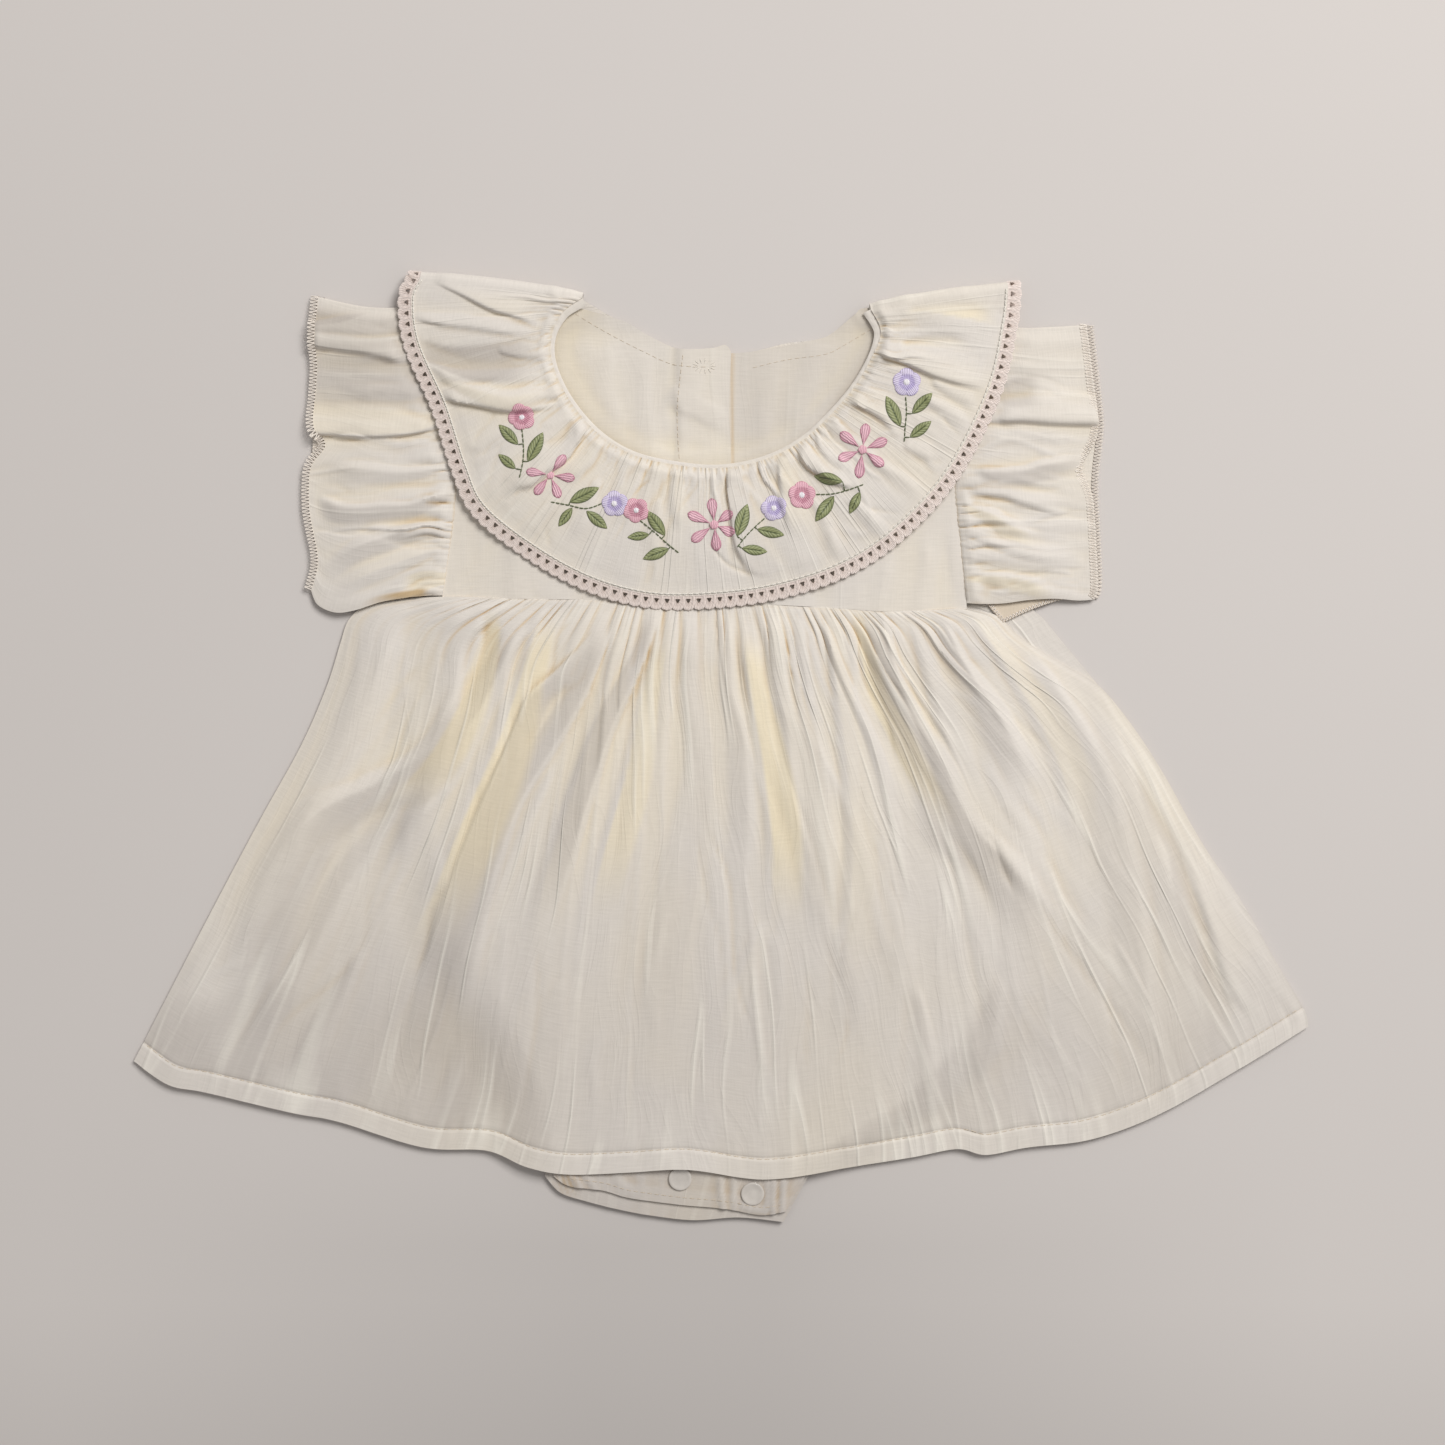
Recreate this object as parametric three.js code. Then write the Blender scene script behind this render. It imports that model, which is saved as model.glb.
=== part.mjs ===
// Baby romper laid flat on its back: a gathered skirt over bloomers, a plain bodice that closes at the
// back, flutter sleeves and a ruffle collar edged with scalloped lace.
// Units are millimetres. +Z is up, +Y points to the neck and +X to the viewer's right. The origin is the
// centre of the garment's outline, on the surface that it lies on.
import * as THREE from "three";

// ---------- driving dimensions ----------
const CLOTH = 1.0; // thickness of one layer of cloth
const GAP = 0.3; // clear space at a seam, and between two layers
const LAYER = CLOTH + GAP; // height that one more layer adds
const FLOOR_LAYER = CLOTH / 2; // middle of the layer that lies on the surface
const LACE_WIDTH = 6.5;
const LACE_PITCH = 6.2; // one scallop
const LACE_DIP = 1.5; // how far the notch between two scallops cuts in
const BINDING_WIDTH = 1.6; // strip that binds the neck edge
const BINDING_AT_SHOULDER = 3.4;
const BINDING_THICK = 1.3;
const BINDING_LIFT = 0.25; // above the collar's own edge
const SNAP_RADIUS = 5.25;
const SNAP_HEIGHT = 1.2;
const SNAPS = [[14.2, -200.7], [-18.3, -194]]; // centres of the two caps on the crotch flap
const SNAP_BUMP = { high: 1.7, reach: 13 }; // how the hem rises over the cap that it covers
const SLEEVE_SEAM = 0.45; // clear space between a sleeve and the bodice
const PLACKET_RISE = { from: -26, over: 7 }; // where the upper back half climbs over the other, along x
const BODICE_SIDES = { left: -122, right: 108, fall: 40 }; // where the front sinks to the back at each side
const SKIRT_PUFF = { high: 2.6, from: 0.45 }; // air under the skirt, and where it starts to lie flatter
const BLOOMER_STEP = { fall: 26, outside: 4 }; // how the skirt comes down beside the bloomers
const SHOULDER_ROLL = [30, 60, 88].map((a) => (a * Math.PI) / 180); // angles round the ruffle's fold
const SHOULDER_CURL = [30, 60, 80].map((a) => (a * Math.PI) / 180); // angles round the back's upturned end
const SLEEVE_ROLL = [45, 90, 135].map((a) => (a * Math.PI) / 180); // angles round a sleeve's fold

// How many small gathers each seam takes in.
const GATHERS = { waist: 44, neck: 46, armhole: 20 };

// Heights of the middle of each layer.
const HEIGHT = {
  backCollar: FLOOR_LAYER,
  backBodice: FLOOR_LAYER + LAYER,
  frontBodice: FLOOR_LAYER + 3 * LAYER,
  frontBodiceSide: FLOOR_LAYER + 2 * LAYER,
  collarNeck: FLOOR_LAYER + 4 * LAYER,
  collarEdge: 7.4,
  underCollar: 5.6,
  skirtSide: FLOOR_LAYER + LAYER,
  skirtOverBloomers: FLOOR_LAYER + 3 * LAYER,
  crotchFlap: FLOOR_LAYER + 2 * LAYER,
};

// ---------- outlines, seen from above ----------
const WAIST = [
  [-125, 67], [-95, 66.2], [-55, 65.8], [0, 64.6], [45, 62.4], [80, 60.3], [110.3, 61.7],
];
const HEM = [
  [-263.7, -141.5], [-248, -152], [-231, -155.5], [-193, -164.5], [-172, -168.5], [-134, -180],
  [-105, -181.5], [-87, -188.5], [-68, -191.8], [-40, -190.8], [-15, -189.5], [20, -194], [58, -188.8],
  [86, -184.5], [106, -180.8], [119, -183.4], [138, -180], [166, -176.5], [196, -165.5], [232, -145.2],
  [263.7, -126],
];
const SKIRT_LEFT = [
  [-125, 67], [-139, 66.6], [-158, 63.6], [-167, 57], [-171, 46], [-177, 27], [-188.5, 0.5],
  [-207, -33], [-228.5, -73.4], [-248, -111], [-263.7, -141.5],
];
const SKIRT_RIGHT = [
  [110.3, 61.7], [124, 58.5], [133, 50], [144, 42.5], [157, 35], [171, 26], [186.8, 6.3], [200.3, -15],
  [212, -36.5], [221, -51], [234, -70], [252, -101.5], [262, -118.5], [263.7, -126],
];
// The back panel shows past the front one below the right sleeve, and shares its lower edge.
const BACK_SKIRT_RIGHT = [[110.3, 61.7], [140, 60.4], [153.5, 47.3], ...SKIRT_RIGHT.slice(5)];
const NECK_FRONT = [
  [-62, 200.5], [-71, 194], [-75.8, 183], [-75, 170], [-67.5, 154.4], [-55, 140], [-39.6, 130.5],
  [-20, 125.8], [0, 124.4], [20, 128.4], [38, 138], [55.8, 155.7], [66, 171], [71.5, 185], [67, 195.5],
];
const COLLAR_EDGE = [
  [-134.5, 209], [-138.5, 200], [-136, 180], [-124, 152.5], [-115, 125], [-106, 106.5], [-82.5, 88],
  [-58, 74.8], [-33.5, 68], [-9, 67.3], [22, 71], [52.5, 80.6], [77, 96.3], [101.5, 123], [120, 159.5],
  [127, 190], [128.5, 204.5],
];
const NECK_BACK_LEFT = [[-62, 200.5], [-47.3, 192], [-32.4, 184.3], [-19, 178.4], [-6, 177.5]];
const COLLAR_BACK_EDGE_LEFT = [
  [-134.5, 209], [-136, 190], [-128, 160], [-106, 132], [-72, 113], [-38, 105], [-6, 103],
];
const NECK_BACK_RIGHT = [[67, 195.5], [51, 186.2], [44.6, 183], [29.3, 181], [12, 177], [-4.8, 176.8]];
const COLLAR_BACK_EDGE_RIGHT = [
  [128.5, 204.5], [127, 186], [118, 158], [98, 130], [66, 112], [32, 105], [-4.8, 103],
];
const ARMHOLE_LEFT = [[-106, 200], [-112, 170], [-118, 130], [-121, 98], [-125, 68]];
const ARMHOLE_RIGHT = [[96, 196], [101, 165], [104.5, 125], [106.5, 105], [110.3, 62.5]];
// Centre back edges of the half that lies uppermost and of the other one, hidden below it.
const PLACKET_EDGE = { x: 4.6, top: 177, bottom: 65 };
const PLACKET_UNDER = { x: -17, top: 177.2, bottom: 65.5 };
const BACK_WAIST_LEFT = [[-125, 67.6], [-60, 66.4], [PLACKET_EDGE.x - 0.5, PLACKET_EDGE.bottom]];
const BACK_WAIST_RIGHT = [[PLACKET_UNDER.x, PLACKET_UNDER.bottom], [45, 62.8], [110.3, 62.4]];
const BODICE_NECK_LEFT = [
  [-106, 200], [-84, 200.4], [-61, 200.6], [-47.3, 192.4], [-32.4, 184.5], [-19, 178.6], [-4, 178.6],
  [1.8, 180], [PLACKET_EDGE.x, PLACKET_EDGE.top],
];
const BODICE_NECK_RIGHT = [
  [PLACKET_UNDER.x, PLACKET_UNDER.top], [5, 176.4], [20, 178.2], [29, 181.2], [44.6, 183], [51, 186],
  [60, 193.5], [66, 196.5], [96, 196],
];
const SHOULDER_LEFT = { neck: [-61, 200.6], tip: [-106, 200] };
const SHOULDER_RIGHT = { neck: [66, 196.5], tip: [96, 196] };
const SLEEVE_LEFT = {
  top: [[-106.3, 199.6], [-125, 197.6], [-142, 196], [-160, 196.4], [-181, 201]],
  outer: [
    [-181, 201], [-182.3, 183], [-181.4, 168], [-184, 137], [-185, 108], [-181, 84], [-184, 70],
  ],
  bottom: [
    [-125.4, 74], [-137, 68.6], [-152, 65.4], [-164, 61], [-173, 60], [-181, 63.5], [-184, 70],
  ],
};
const SLEEVE_RIGHT = {
  top: [[96.3, 195.6], [112, 190.5], [133, 187], [150, 187.4], [164.3, 188.5]],
  outer: [
    [164.3, 188.5], [168.8, 151], [169.2, 140], [167.2, 118], [168.3, 94], [169.2, 71], [167.4, 65.8],
  ],
  bottom: [[110.6, 66.4], [120, 65], [132, 65.4], [145.4, 65], [158, 64.4], [167.4, 65.8]],
};

// The bloomers that hang inside the skirt: how wide they lie at each height.
const BLOOMER_SECTIONS = [
  { y: 58, left: -110, right: 101 },
  { y: 20, left: -120, right: 116 },
  { y: -30, left: -124, right: 127 },
  { y: -85, left: -112, right: 125 },
  { y: -110, left: -101, right: 118 },
  { y: -135, left: -88, right: 105 },
  { y: -160, left: -79, right: 80 },
  { y: -178, left: -77, right: 50 },
  { y: -190, left: -79, right: 33 },
];
const BLOOMER_BACK_HEM = [
  [-79, -193], [-72, -200.5], [-60, -204.5], [-46, -208], [-31, -210.8], [-12, -212.8], [8, -211.6],
  [28, -213.6],
];
const BLOOMER_FRONT_HEM = [
  [-75, -193], [-68, -197.3], [-53, -199.3], [-41, -202.6], [-19, -205.6], [2, -207.5], [18, -210.2],
  [29, -208.5],
];

// ---------- creases ----------
// Each row is a soft ridge (high above 0) or trough (below 0) along a bowed line from (x0, y0) to
// (x1, y1). bow and sway push the line's middle and its two halves sideways, half is the crease's half
// width, and steep makes one flank that many times sharper, as on a pleat that lies over its neighbour.
const SKIRT_CREASES = [
  { x0: -105, y0: 64, x1: -214, y1: -138, bow: -4, sway: 16, half: 7.5, high: -3.6, steep: 1.4 },
  { x0: -112, y0: 60, x1: -226, y1: -120, bow: -7, sway: 15, half: 8, high: 2.6, steep: 1 },
  { x0: -97, y0: 58, x1: -150, y1: -60, bow: -3, sway: 7, half: 4.5, high: -3.2, steep: 1.3 },
  { x0: -89, y0: 60, x1: -142, y1: -70, bow: -2, sway: 8, half: 5, high: 2.2, steep: 1 },
  { x0: -76, y0: 63, x1: -152, y1: -98, bow: -2, sway: 6, half: 4.5, high: -3.0, steep: 1.5 },
  { x0: -72, y0: 61, x1: -128, y1: -132, bow: -2, sway: 8, half: 4, high: -2.2, steep: 1.2 },
  { x0: -53, y0: 58, x1: -102, y1: -54, bow: 0, sway: 3, half: 6, high: -2.8, steep: 1.6 },
  { x0: -28, y0: 60, x1: -74, y1: -66, bow: 3, sway: 2, half: 7, high: -3.0, steep: 1.5 },
  { x0: 2, y0: 61, x1: 9, y1: -10, bow: 2, sway: 0, half: 4, high: -2.6, steep: 1.2 },
  { x0: 21, y0: 62, x1: 43, y1: -104, bow: -1, sway: 2, half: 7, high: -3.4, steep: 1.7 },
  { x0: 43, y0: 59, x1: 60, y1: -30, bow: 0, sway: 2, half: 5, high: -2.6, steep: 1.3 },
  { x0: 66, y0: 60, x1: 156, y1: -114, bow: -13, sway: -7, half: 9, high: -4.2, steep: 1.5 },
  { x0: 82, y0: 56, x1: 162, y1: -84, bow: -12, sway: -4, half: 8, high: 2.6, steep: 1 },
  { x0: 90, y0: 60, x1: 105, y1: -6, bow: 0, sway: 0, half: 4, high: -2.4, steep: 1.3 },
  { x0: 104, y0: 58, x1: 156, y1: -24, bow: -4, sway: 0, half: 6, high: -3.0, steep: 1.5 },
  { x0: 168, y0: 26, x1: 231, y1: -142, bow: 8, sway: 0, half: 6, high: -3.2, steep: 1.8 },
  { x0: 182, y0: 8, x1: 229, y1: -100, bow: 7, sway: 0, half: 6, high: 2.4, steep: 1 },
  { x0: 218, y0: -46, x1: 232, y1: -92, bow: 2, sway: 0, half: 5, high: -2.2, steep: 1.6 },
  { x0: -156, y0: -78, x1: -196, y1: -160, bow: 0, sway: 1, half: 3.5, high: 1.4, steep: 1.3 },
  { x0: 104, y0: -140, x1: 105, y1: -184, bow: 0, sway: 0, half: 6, high: -1.6, steep: 2 },
];
const COLLAR_CREASES = [
  { x0: -130, y0: 207, x1: -76, y1: 188, bow: 2, sway: 0, half: 4, high: -3.2, steep: 1.4 },
  { x0: -136, y0: 191, x1: -76, y1: 184, bow: -1, sway: 0, half: 3.5, high: -3.0, steep: 1.6 },
  { x0: -138, y0: 181, x1: -96, y1: 165, bow: -1, sway: 0, half: 6.5, high: -3.2, steep: 1.3 },
  { x0: -128, y0: 167, x1: -75, y1: 164, bow: -5, sway: 0, half: 4, high: -2.4, steep: 1.4 },
  { x0: -125, y0: 158.5, x1: -71, y1: 158, bow: -4, sway: 0, half: 6, high: 3.4, steep: 3 },
  { x0: -95, y0: 111, x1: -60, y1: 146, bow: -4, sway: 0, half: 5, high: 3.2, steep: 3 },
  { x0: -71, y0: 110, x1: -54, y1: 134, bow: 0, sway: 0, half: 4, high: -2.6, steep: 1.4 },
  { x0: 3, y0: 124, x1: 18, y1: 70, bow: 3, sway: 0, half: 5, high: 2.8, steep: 3 },
  { x0: 33, y0: 134, x1: 64, y1: 119, bow: 3, sway: 0, half: 6, high: 3.6, steep: 2.4 },
  { x0: 69, y0: 176, x1: 124, y1: 162, bow: 0, sway: 0, half: 6, high: 3.2, steep: 3 },
  { x0: 56, y0: 155, x1: 100, y1: 124, bow: 4, sway: 0, half: 4.5, high: -2.4, steep: 1.3 },
  { x0: 80, y0: 204, x1: 128, y1: 190, bow: 2, sway: 0, half: 5, high: -2.8, steep: 1.3 },
  { x0: 72, y0: 189, x1: 124, y1: 180, bow: 3, sway: 0, half: 5, high: -2.2, steep: 1.2 },
];
const SLEEVE_LEFT_CREASES = [
  { x0: -182, y0: 183, x1: -134, y1: 176, bow: 2, sway: 0, half: 7, high: 3.0, steep: 3 },
  { x0: -182, y0: 145, x1: -122, y1: 146, bow: -3, sway: 0, half: 7, high: 3.0, steep: 3 },
  { x0: -183, y0: 113, x1: -120, y1: 115, bow: -9, sway: 0, half: 6, high: 2.6, steep: 2.4 },
  { x0: -180, y0: 78, x1: -121, y1: 98, bow: 4, sway: 0, half: 6, high: -2.0, steep: 1.4 },
  { x0: -184, y0: 70, x1: -128, y1: 82, bow: 3, sway: 0, half: 8, high: 2.4, steep: 1 },
];
const SLEEVE_RIGHT_CREASES = [
  { x0: 168, y0: 149, x1: 118, y1: 149, bow: 1, sway: 0, half: 7, high: 2.6, steep: 3 },
  { x0: 167, y0: 108, x1: 107, y1: 113, bow: -2, sway: 0, half: 5, high: -2.2, steep: 1.4 },
  { x0: 167, y0: 88, x1: 113, y1: 103, bow: -1, sway: 0, half: 5, high: -2.4, steep: 1.5 },
  { x0: 168, y0: 128, x1: 112, y1: 126, bow: 2, sway: 0, half: 6, high: 2.2, steep: 1.5 },
  { x0: 156, y0: 69, x1: 109, y1: 76, bow: -2, sway: 0, half: 4, high: -2.0, steep: 1.4 },
];
// Gathers that the elastic pulls into the right end of the crotch flap.
const FLAP_CREASES = [
  { x0: 2, y0: -197, x1: 3, y1: -209, bow: 0.5, sway: 0, half: 1.8, high: 0.7, steep: 1.2 },
  { x0: 24, y0: -196, x1: 23.7, y1: -212, bow: 0, sway: 0, half: 1.6, high: 1.1, steep: 1 },
  { x0: 28, y0: -196, x1: 27.3, y1: -212, bow: 0, sway: 0, half: 1.4, high: 1.0, steep: 1 },
];

// ---------- small helpers ----------
const smooth = (t) => {
  const c = Math.min(1, Math.max(0, t));
  return c * c * (3 - 2 * c);
};
const mix = (a, b, t) => a + (b - a) * t;
// A repeatable uneven number from 0 to 1 for the k-th fold of a seam.
const uneven = (k, seed) => {
  const s = Math.sin(k * 12.9898 + seed * 78.233) * 43758.5453;
  return s - Math.floor(s);
};
const line = (points) => {
  const spline = new THREE.SplineCurve(points.map(([x, y]) => new THREE.Vector2(x, y)));
  spline.arcLengthDivisions = 400;
  return (t) => spline.getPointAt(Math.min(1, Math.max(0, t)));
};
const curveLength = (points) => {
  const spline = new THREE.SplineCurve(points.map(([x, y]) => new THREE.Vector2(x, y)));
  return spline.getLength();
};

const evenly = (count) => Array.from({ length: count + 1 }, (_, i) => i / count);

// Height of all the creases at one point of a panel.
function creaseHeight(creases, x, y) {
  let sum = 0;
  for (const c of creases) {
    const dx = c.x1 - c.x0;
    const dy = c.y1 - c.y0;
    const length = Math.hypot(dx, dy);
    const t = ((x - c.x0) * dx + (y - c.y0) * dy) / length ** 2;
    if (t <= -0.1 || t >= 1.1) continue;
    const bend = c.bow * 4 * t * (1 - t) + c.sway * Math.sin(2 * Math.PI * t);
    const side = ((x - c.x0) * dy - (y - c.y0) * dx) / length - bend;
    const across = side / (side < 0 ? c.half / c.steep : c.half);
    const along = smooth((t + 0.1) / 0.2) * smooth((1.1 - t) / 0.35);
    sum += c.high * Math.exp(-across * across) * along;
  }
  return sum;
}

// A panel between four edges. top and bottom run from left to right, left and right from top to bottom.
// reach says how quickly the shape of a side edge fades towards the middle.
function panel(top, bottom, left, right, reach = 3) {
  const ruled = (u, v) => top(u).clone().lerp(bottom(u), v);
  return (u, v) => {
    const leftPull = left(v).clone().sub(ruled(0, v)).multiplyScalar((1 - u) ** reach);
    const rightPull = right(v).clone().sub(ruled(1, v)).multiplyScalar(u ** reach);
    return ruled(u, v).add(leftPull).add(rightPull);
  };
}

// Uneven places of gathers along a seam: the valleys and peaks, from 0 to 1.
function gatherPlaces(count, seed) {
  const places = [0];
  for (let k = 0; k < count; k++) {
    const width = 1 + 0.6 * (uneven(k, seed) - 0.5);
    places.push(places.at(-1) + width / 2, places.at(-1) + width);
  }
  return places.map((p) => p / places.at(-1));
}
// Height of the peak at an odd place, and 0 at a valley.
const gatherPeak = (place, seed) => (place % 2 ? 0.45 + 0.75 * uneven(place, seed + 5) : 0);

// ---------- cloth walls ----------
// Turns a grid of points on the middle of a cloth into one closed wall of even thickness.
function wall(grid, thickness = CLOTH) {
  const rows = grid.length;
  const cols = grid[0].length;
  const at = (i, j) => grid[Math.min(rows - 1, Math.max(0, i))][Math.min(cols - 1, Math.max(0, j))];
  const positions = [];
  const normalAt = (i, j) => {
    const faces = [];
    for (const [a, b] of [[0, 0], [-1, 0], [0, -1], [-1, -1]]) {
      const [i0, j0] = [i + a, j + b];
      if (i0 < 0 || j0 < 0 || i0 >= rows - 1 || j0 >= cols - 1) continue;
      const across = at(i0 + 1, j0 + 1).clone().sub(at(i0, j0));
      const along = at(i0, j0 + 1).clone().sub(at(i0 + 1, j0));
      faces.push(across.cross(along).normalize());
    }
    const mean = faces.reduce((sum, f) => sum.add(f), new THREE.Vector3()).normalize();
    const lean = faces.reduce((sum, f) => sum + f.dot(mean), 0) / faces.length;
    return mean.multiplyScalar(1 / Math.max(0.72, lean));
  };
  for (const side of [0.5, -0.5]) {
    for (let i = 0; i < rows; i++) {
      for (let j = 0; j < cols; j++) {
        const p = at(i, j).clone().addScaledVector(normalAt(i, j), side * thickness);
        positions.push(p.x, p.y, p.z);
      }
    }
  }
  const index = [];
  const upper = (i, j) => i * cols + j;
  const lower = (i, j) => rows * cols + i * cols + j;
  const quad = (a, b, c, d) => index.push(a, b, c, a, c, d);
  for (let i = 0; i < rows - 1; i++) {
    for (let j = 0; j < cols - 1; j++) {
      quad(upper(i, j), upper(i + 1, j), upper(i + 1, j + 1), upper(i, j + 1));
      quad(lower(i, j), lower(i, j + 1), lower(i + 1, j + 1), lower(i + 1, j));
    }
  }
  for (let j = 0; j < cols - 1; j++) {
    quad(upper(0, j), upper(0, j + 1), lower(0, j + 1), lower(0, j));
    quad(upper(rows - 1, j), lower(rows - 1, j), lower(rows - 1, j + 1), upper(rows - 1, j + 1));
  }
  for (let i = 0; i < rows - 1; i++) {
    quad(upper(i, 0), lower(i, 0), lower(i + 1, 0), upper(i + 1, 0));
    quad(upper(i, cols - 1), upper(i + 1, cols - 1), lower(i + 1, cols - 1), lower(i, cols - 1));
  }
  const geometry = new THREE.BufferGeometry();
  geometry.setAttribute("position", new THREE.Float32BufferAttribute(positions, 3));
  geometry.setIndex(index);
  geometry.computeVertexNormals();
  return geometry;
}
// Rows run along v and columns along u; pointAt gives the middle of the cloth.
const gridOf = (vs, us, pointAt) => vs.map((v, i) => us.map((u, j) => pointAt(u, v, j, i)));

const romper = new THREE.Group();
const COLOURS = { cotton: 0xf1e9d8, lace: 0xeee0d6, snap: 0xf0eadf };
function addPiece(name, geometry, colour = COLOURS.cotton, roughness = 0.85) {
  const material = new THREE.MeshStandardMaterial({ color: colour, roughness, metalness: 0 });
  const mesh = new THREE.Mesh(geometry, material);
  mesh.name = name;
  romper.add(mesh);
}

// ---------- skirt ----------
// How wide the bloomers lie at height y, between the rows of their table.
function bloomerWidth(y) {
  const rows = BLOOMER_SECTIONS;
  const found = rows.findIndex((r, i) => i > 0 && y >= r.y);
  const k = found < 0 ? rows.length - 1 : found;
  const t = Math.min(1, Math.max(0, (rows[k - 1].y - y) / (rows[k - 1].y - rows[k].y)));
  const [above, below] = [rows[k - 1], rows[k]];
  return { left: mix(above.left, below.left, t), right: mix(above.right, below.right, t) };
}
// 1 above the bloomers, falling to 0 a little outside them.
function overBloomers(x, y) {
  const { left, right } = bloomerWidth(y);
  const { fall, outside } = BLOOMER_STEP;
  return smooth((x - left + fall + outside) / fall) * smooth((right + fall + outside - x) / fall);
}
const skirtFrontAt = panel(line(WAIST), line(HEM), line(SKIRT_LEFT), line(SKIRT_RIGHT));
function skirtFront() {
  const seed = 1;
  const us = gatherPlaces(GATHERS.waist, seed);
  const vs = [0, 0.03, 0.08, 0.15, 0.24, 0.35, 0.48, 0.62, 0.76, 0.88, 0.96, 1];
  return wall(gridOf(vs, us, (u, v, j) => {
    const p = skirtFrontAt(u, v);
    const fromSeam = smooth(v / 0.1);
    const side = smooth(u / 0.05) * smooth((1 - u) / 0.05);
    const seamEnd = smooth(u / 0.02) * smooth((1 - u) / 0.02);
    const fromSnap = Math.hypot(p.x - SNAPS[1][0], p.y - SNAPS[1][1]) / SNAP_BUMP.reach;
    const hiddenSnap = SNAP_BUMP.high * Math.exp(-fromSnap * fromSnap);
    const atSeam = mix(HEIGHT.skirtSide, HEIGHT.frontBodice, seamEnd);
    const below = mix(HEIGHT.skirtSide, HEIGHT.skirtOverBloomers, overBloomers(p.x, p.y));
    const base = hiddenSnap + mix(atSeam, below, fromSeam);
    const long = uneven(j >> 1, seed + 9) > 0.62 ? 0.9 : 0.5; // some gathers run on towards the hem
    const depth = mix(0.9, 2.6, smooth(v / 0.06)) * (1 - smooth((v - 0.12) / long));
    const gather = gatherPeak(j, seed) * depth;
    const flatter = 1 - 0.75 * smooth((v - SKIRT_PUFF.from) / 0.5);
    const puff = SKIRT_PUFF.high * side * smooth(v / 0.12) * flatter;
    const folds = creaseHeight(SKIRT_CREASES, p.x, p.y) * side * smooth(v / 0.04);
    return new THREE.Vector3(p.x, p.y, base + Math.max(0, puff + gather * side + folds));
  }));
}
function skirtBack() {
  const inner = 0.6; // the back panel lies just inside the front panel's edge
  const at = panel(line(WAIST), line(HEM), line(SKIRT_LEFT), line(BACK_SKIRT_RIGHT));
  return wall(gridOf(evenly(6), evenly(28), (u, v) => {
    const p = at(u, v);
    const narrower = 1 - inner / HEM.at(-1)[0];
    return new THREE.Vector3(p.x * narrower, p.y + inner * (2 * v - 0.6), FLOOR_LAYER);
  }));
}

// ---------- bloomers ----------
function bloomer(hem, height, creases, inset) {
  const rows = BLOOMER_SECTIONS;
  const left = line([...rows.map((r) => [r.left + inset, r.y]).slice(0, -1), hem[0]]);
  const right = line([...rows.map((r) => [r.right - inset, r.y]).slice(0, -1), hem.at(-1)]);
  const { y, left: first, right: last } = rows[0];
  const top = line([[first + inset, y], [0, y - 1], [last - inset, y]]);
  const at = panel(top, line(hem), left, right);
  // The columns are closer where the elastic gathers the flap.
  const us = [...evenly(20).slice(0, -2), 0.93, 0.955, 0.972, 0.99, 1];
  const vs = [0, 0.15, 0.3, 0.45, 0.6, 0.72, 0.84, 0.93, 1];
  return wall(gridOf(vs, us, (u, v) => {
    const p = at(u, v);
    return new THREE.Vector3(p.x, p.y, height + Math.max(0, creaseHeight(creases, p.x, p.y)));
  }));
}
function snapCap() {
  const r = SNAP_RADIUS;
  const high = SNAP_HEIGHT;
  const profile = [[0, 0], [r - 0.5, 0], [r, 0.4], [r - 0.7, 0.95], [r * 0.5, high], [0, high]];
  const geometry = new THREE.LatheGeometry(profile.map(([x, y]) => new THREE.Vector2(x, y)), 20);
  return geometry.rotateX(Math.PI / 2);
}

// ---------- bodice ----------
const bodiceSide = (x) => {
  const { left, right, fall } = BODICE_SIDES;
  return smooth((x - left) / fall) * smooth((right - x) / fall);
};
function backHeight(y) {
  return mix(FLOOR_LAYER, HEIGHT.backBodice, smooth((y - 66) / 20));
}
function bodiceBackLeft() {
  const { x, top, bottom } = PLACKET_EDGE;
  const edge = line([[x, top], [x - 1, 120], [x - 0.5, bottom]]);
  const at = panel(line(BODICE_NECK_LEFT), line(BACK_WAIST_LEFT), line(ARMHOLE_LEFT), edge);
  return wall(gridOf(evenly(7), evenly(14), (u, v) => {
    const p = at(u, v);
    const climb = LAYER * smooth((p.x - PLACKET_RISE.from) / PLACKET_RISE.over);
    return new THREE.Vector3(p.x, p.y, backHeight(p.y) + climb);
  }));
}
function bodiceBackRight() {
  const { x, top, bottom } = PLACKET_UNDER;
  const edge = line([[x, top], [x, 120], [x, bottom]]);
  const at = panel(line(BODICE_NECK_RIGHT), line(BACK_WAIST_RIGHT), edge, line(ARMHOLE_RIGHT));
  return wall(gridOf(evenly(7), evenly(14), (u, v) => {
    const p = at(u, v);
    return new THREE.Vector3(p.x, p.y, backHeight(p.y));
  }));
}
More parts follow.
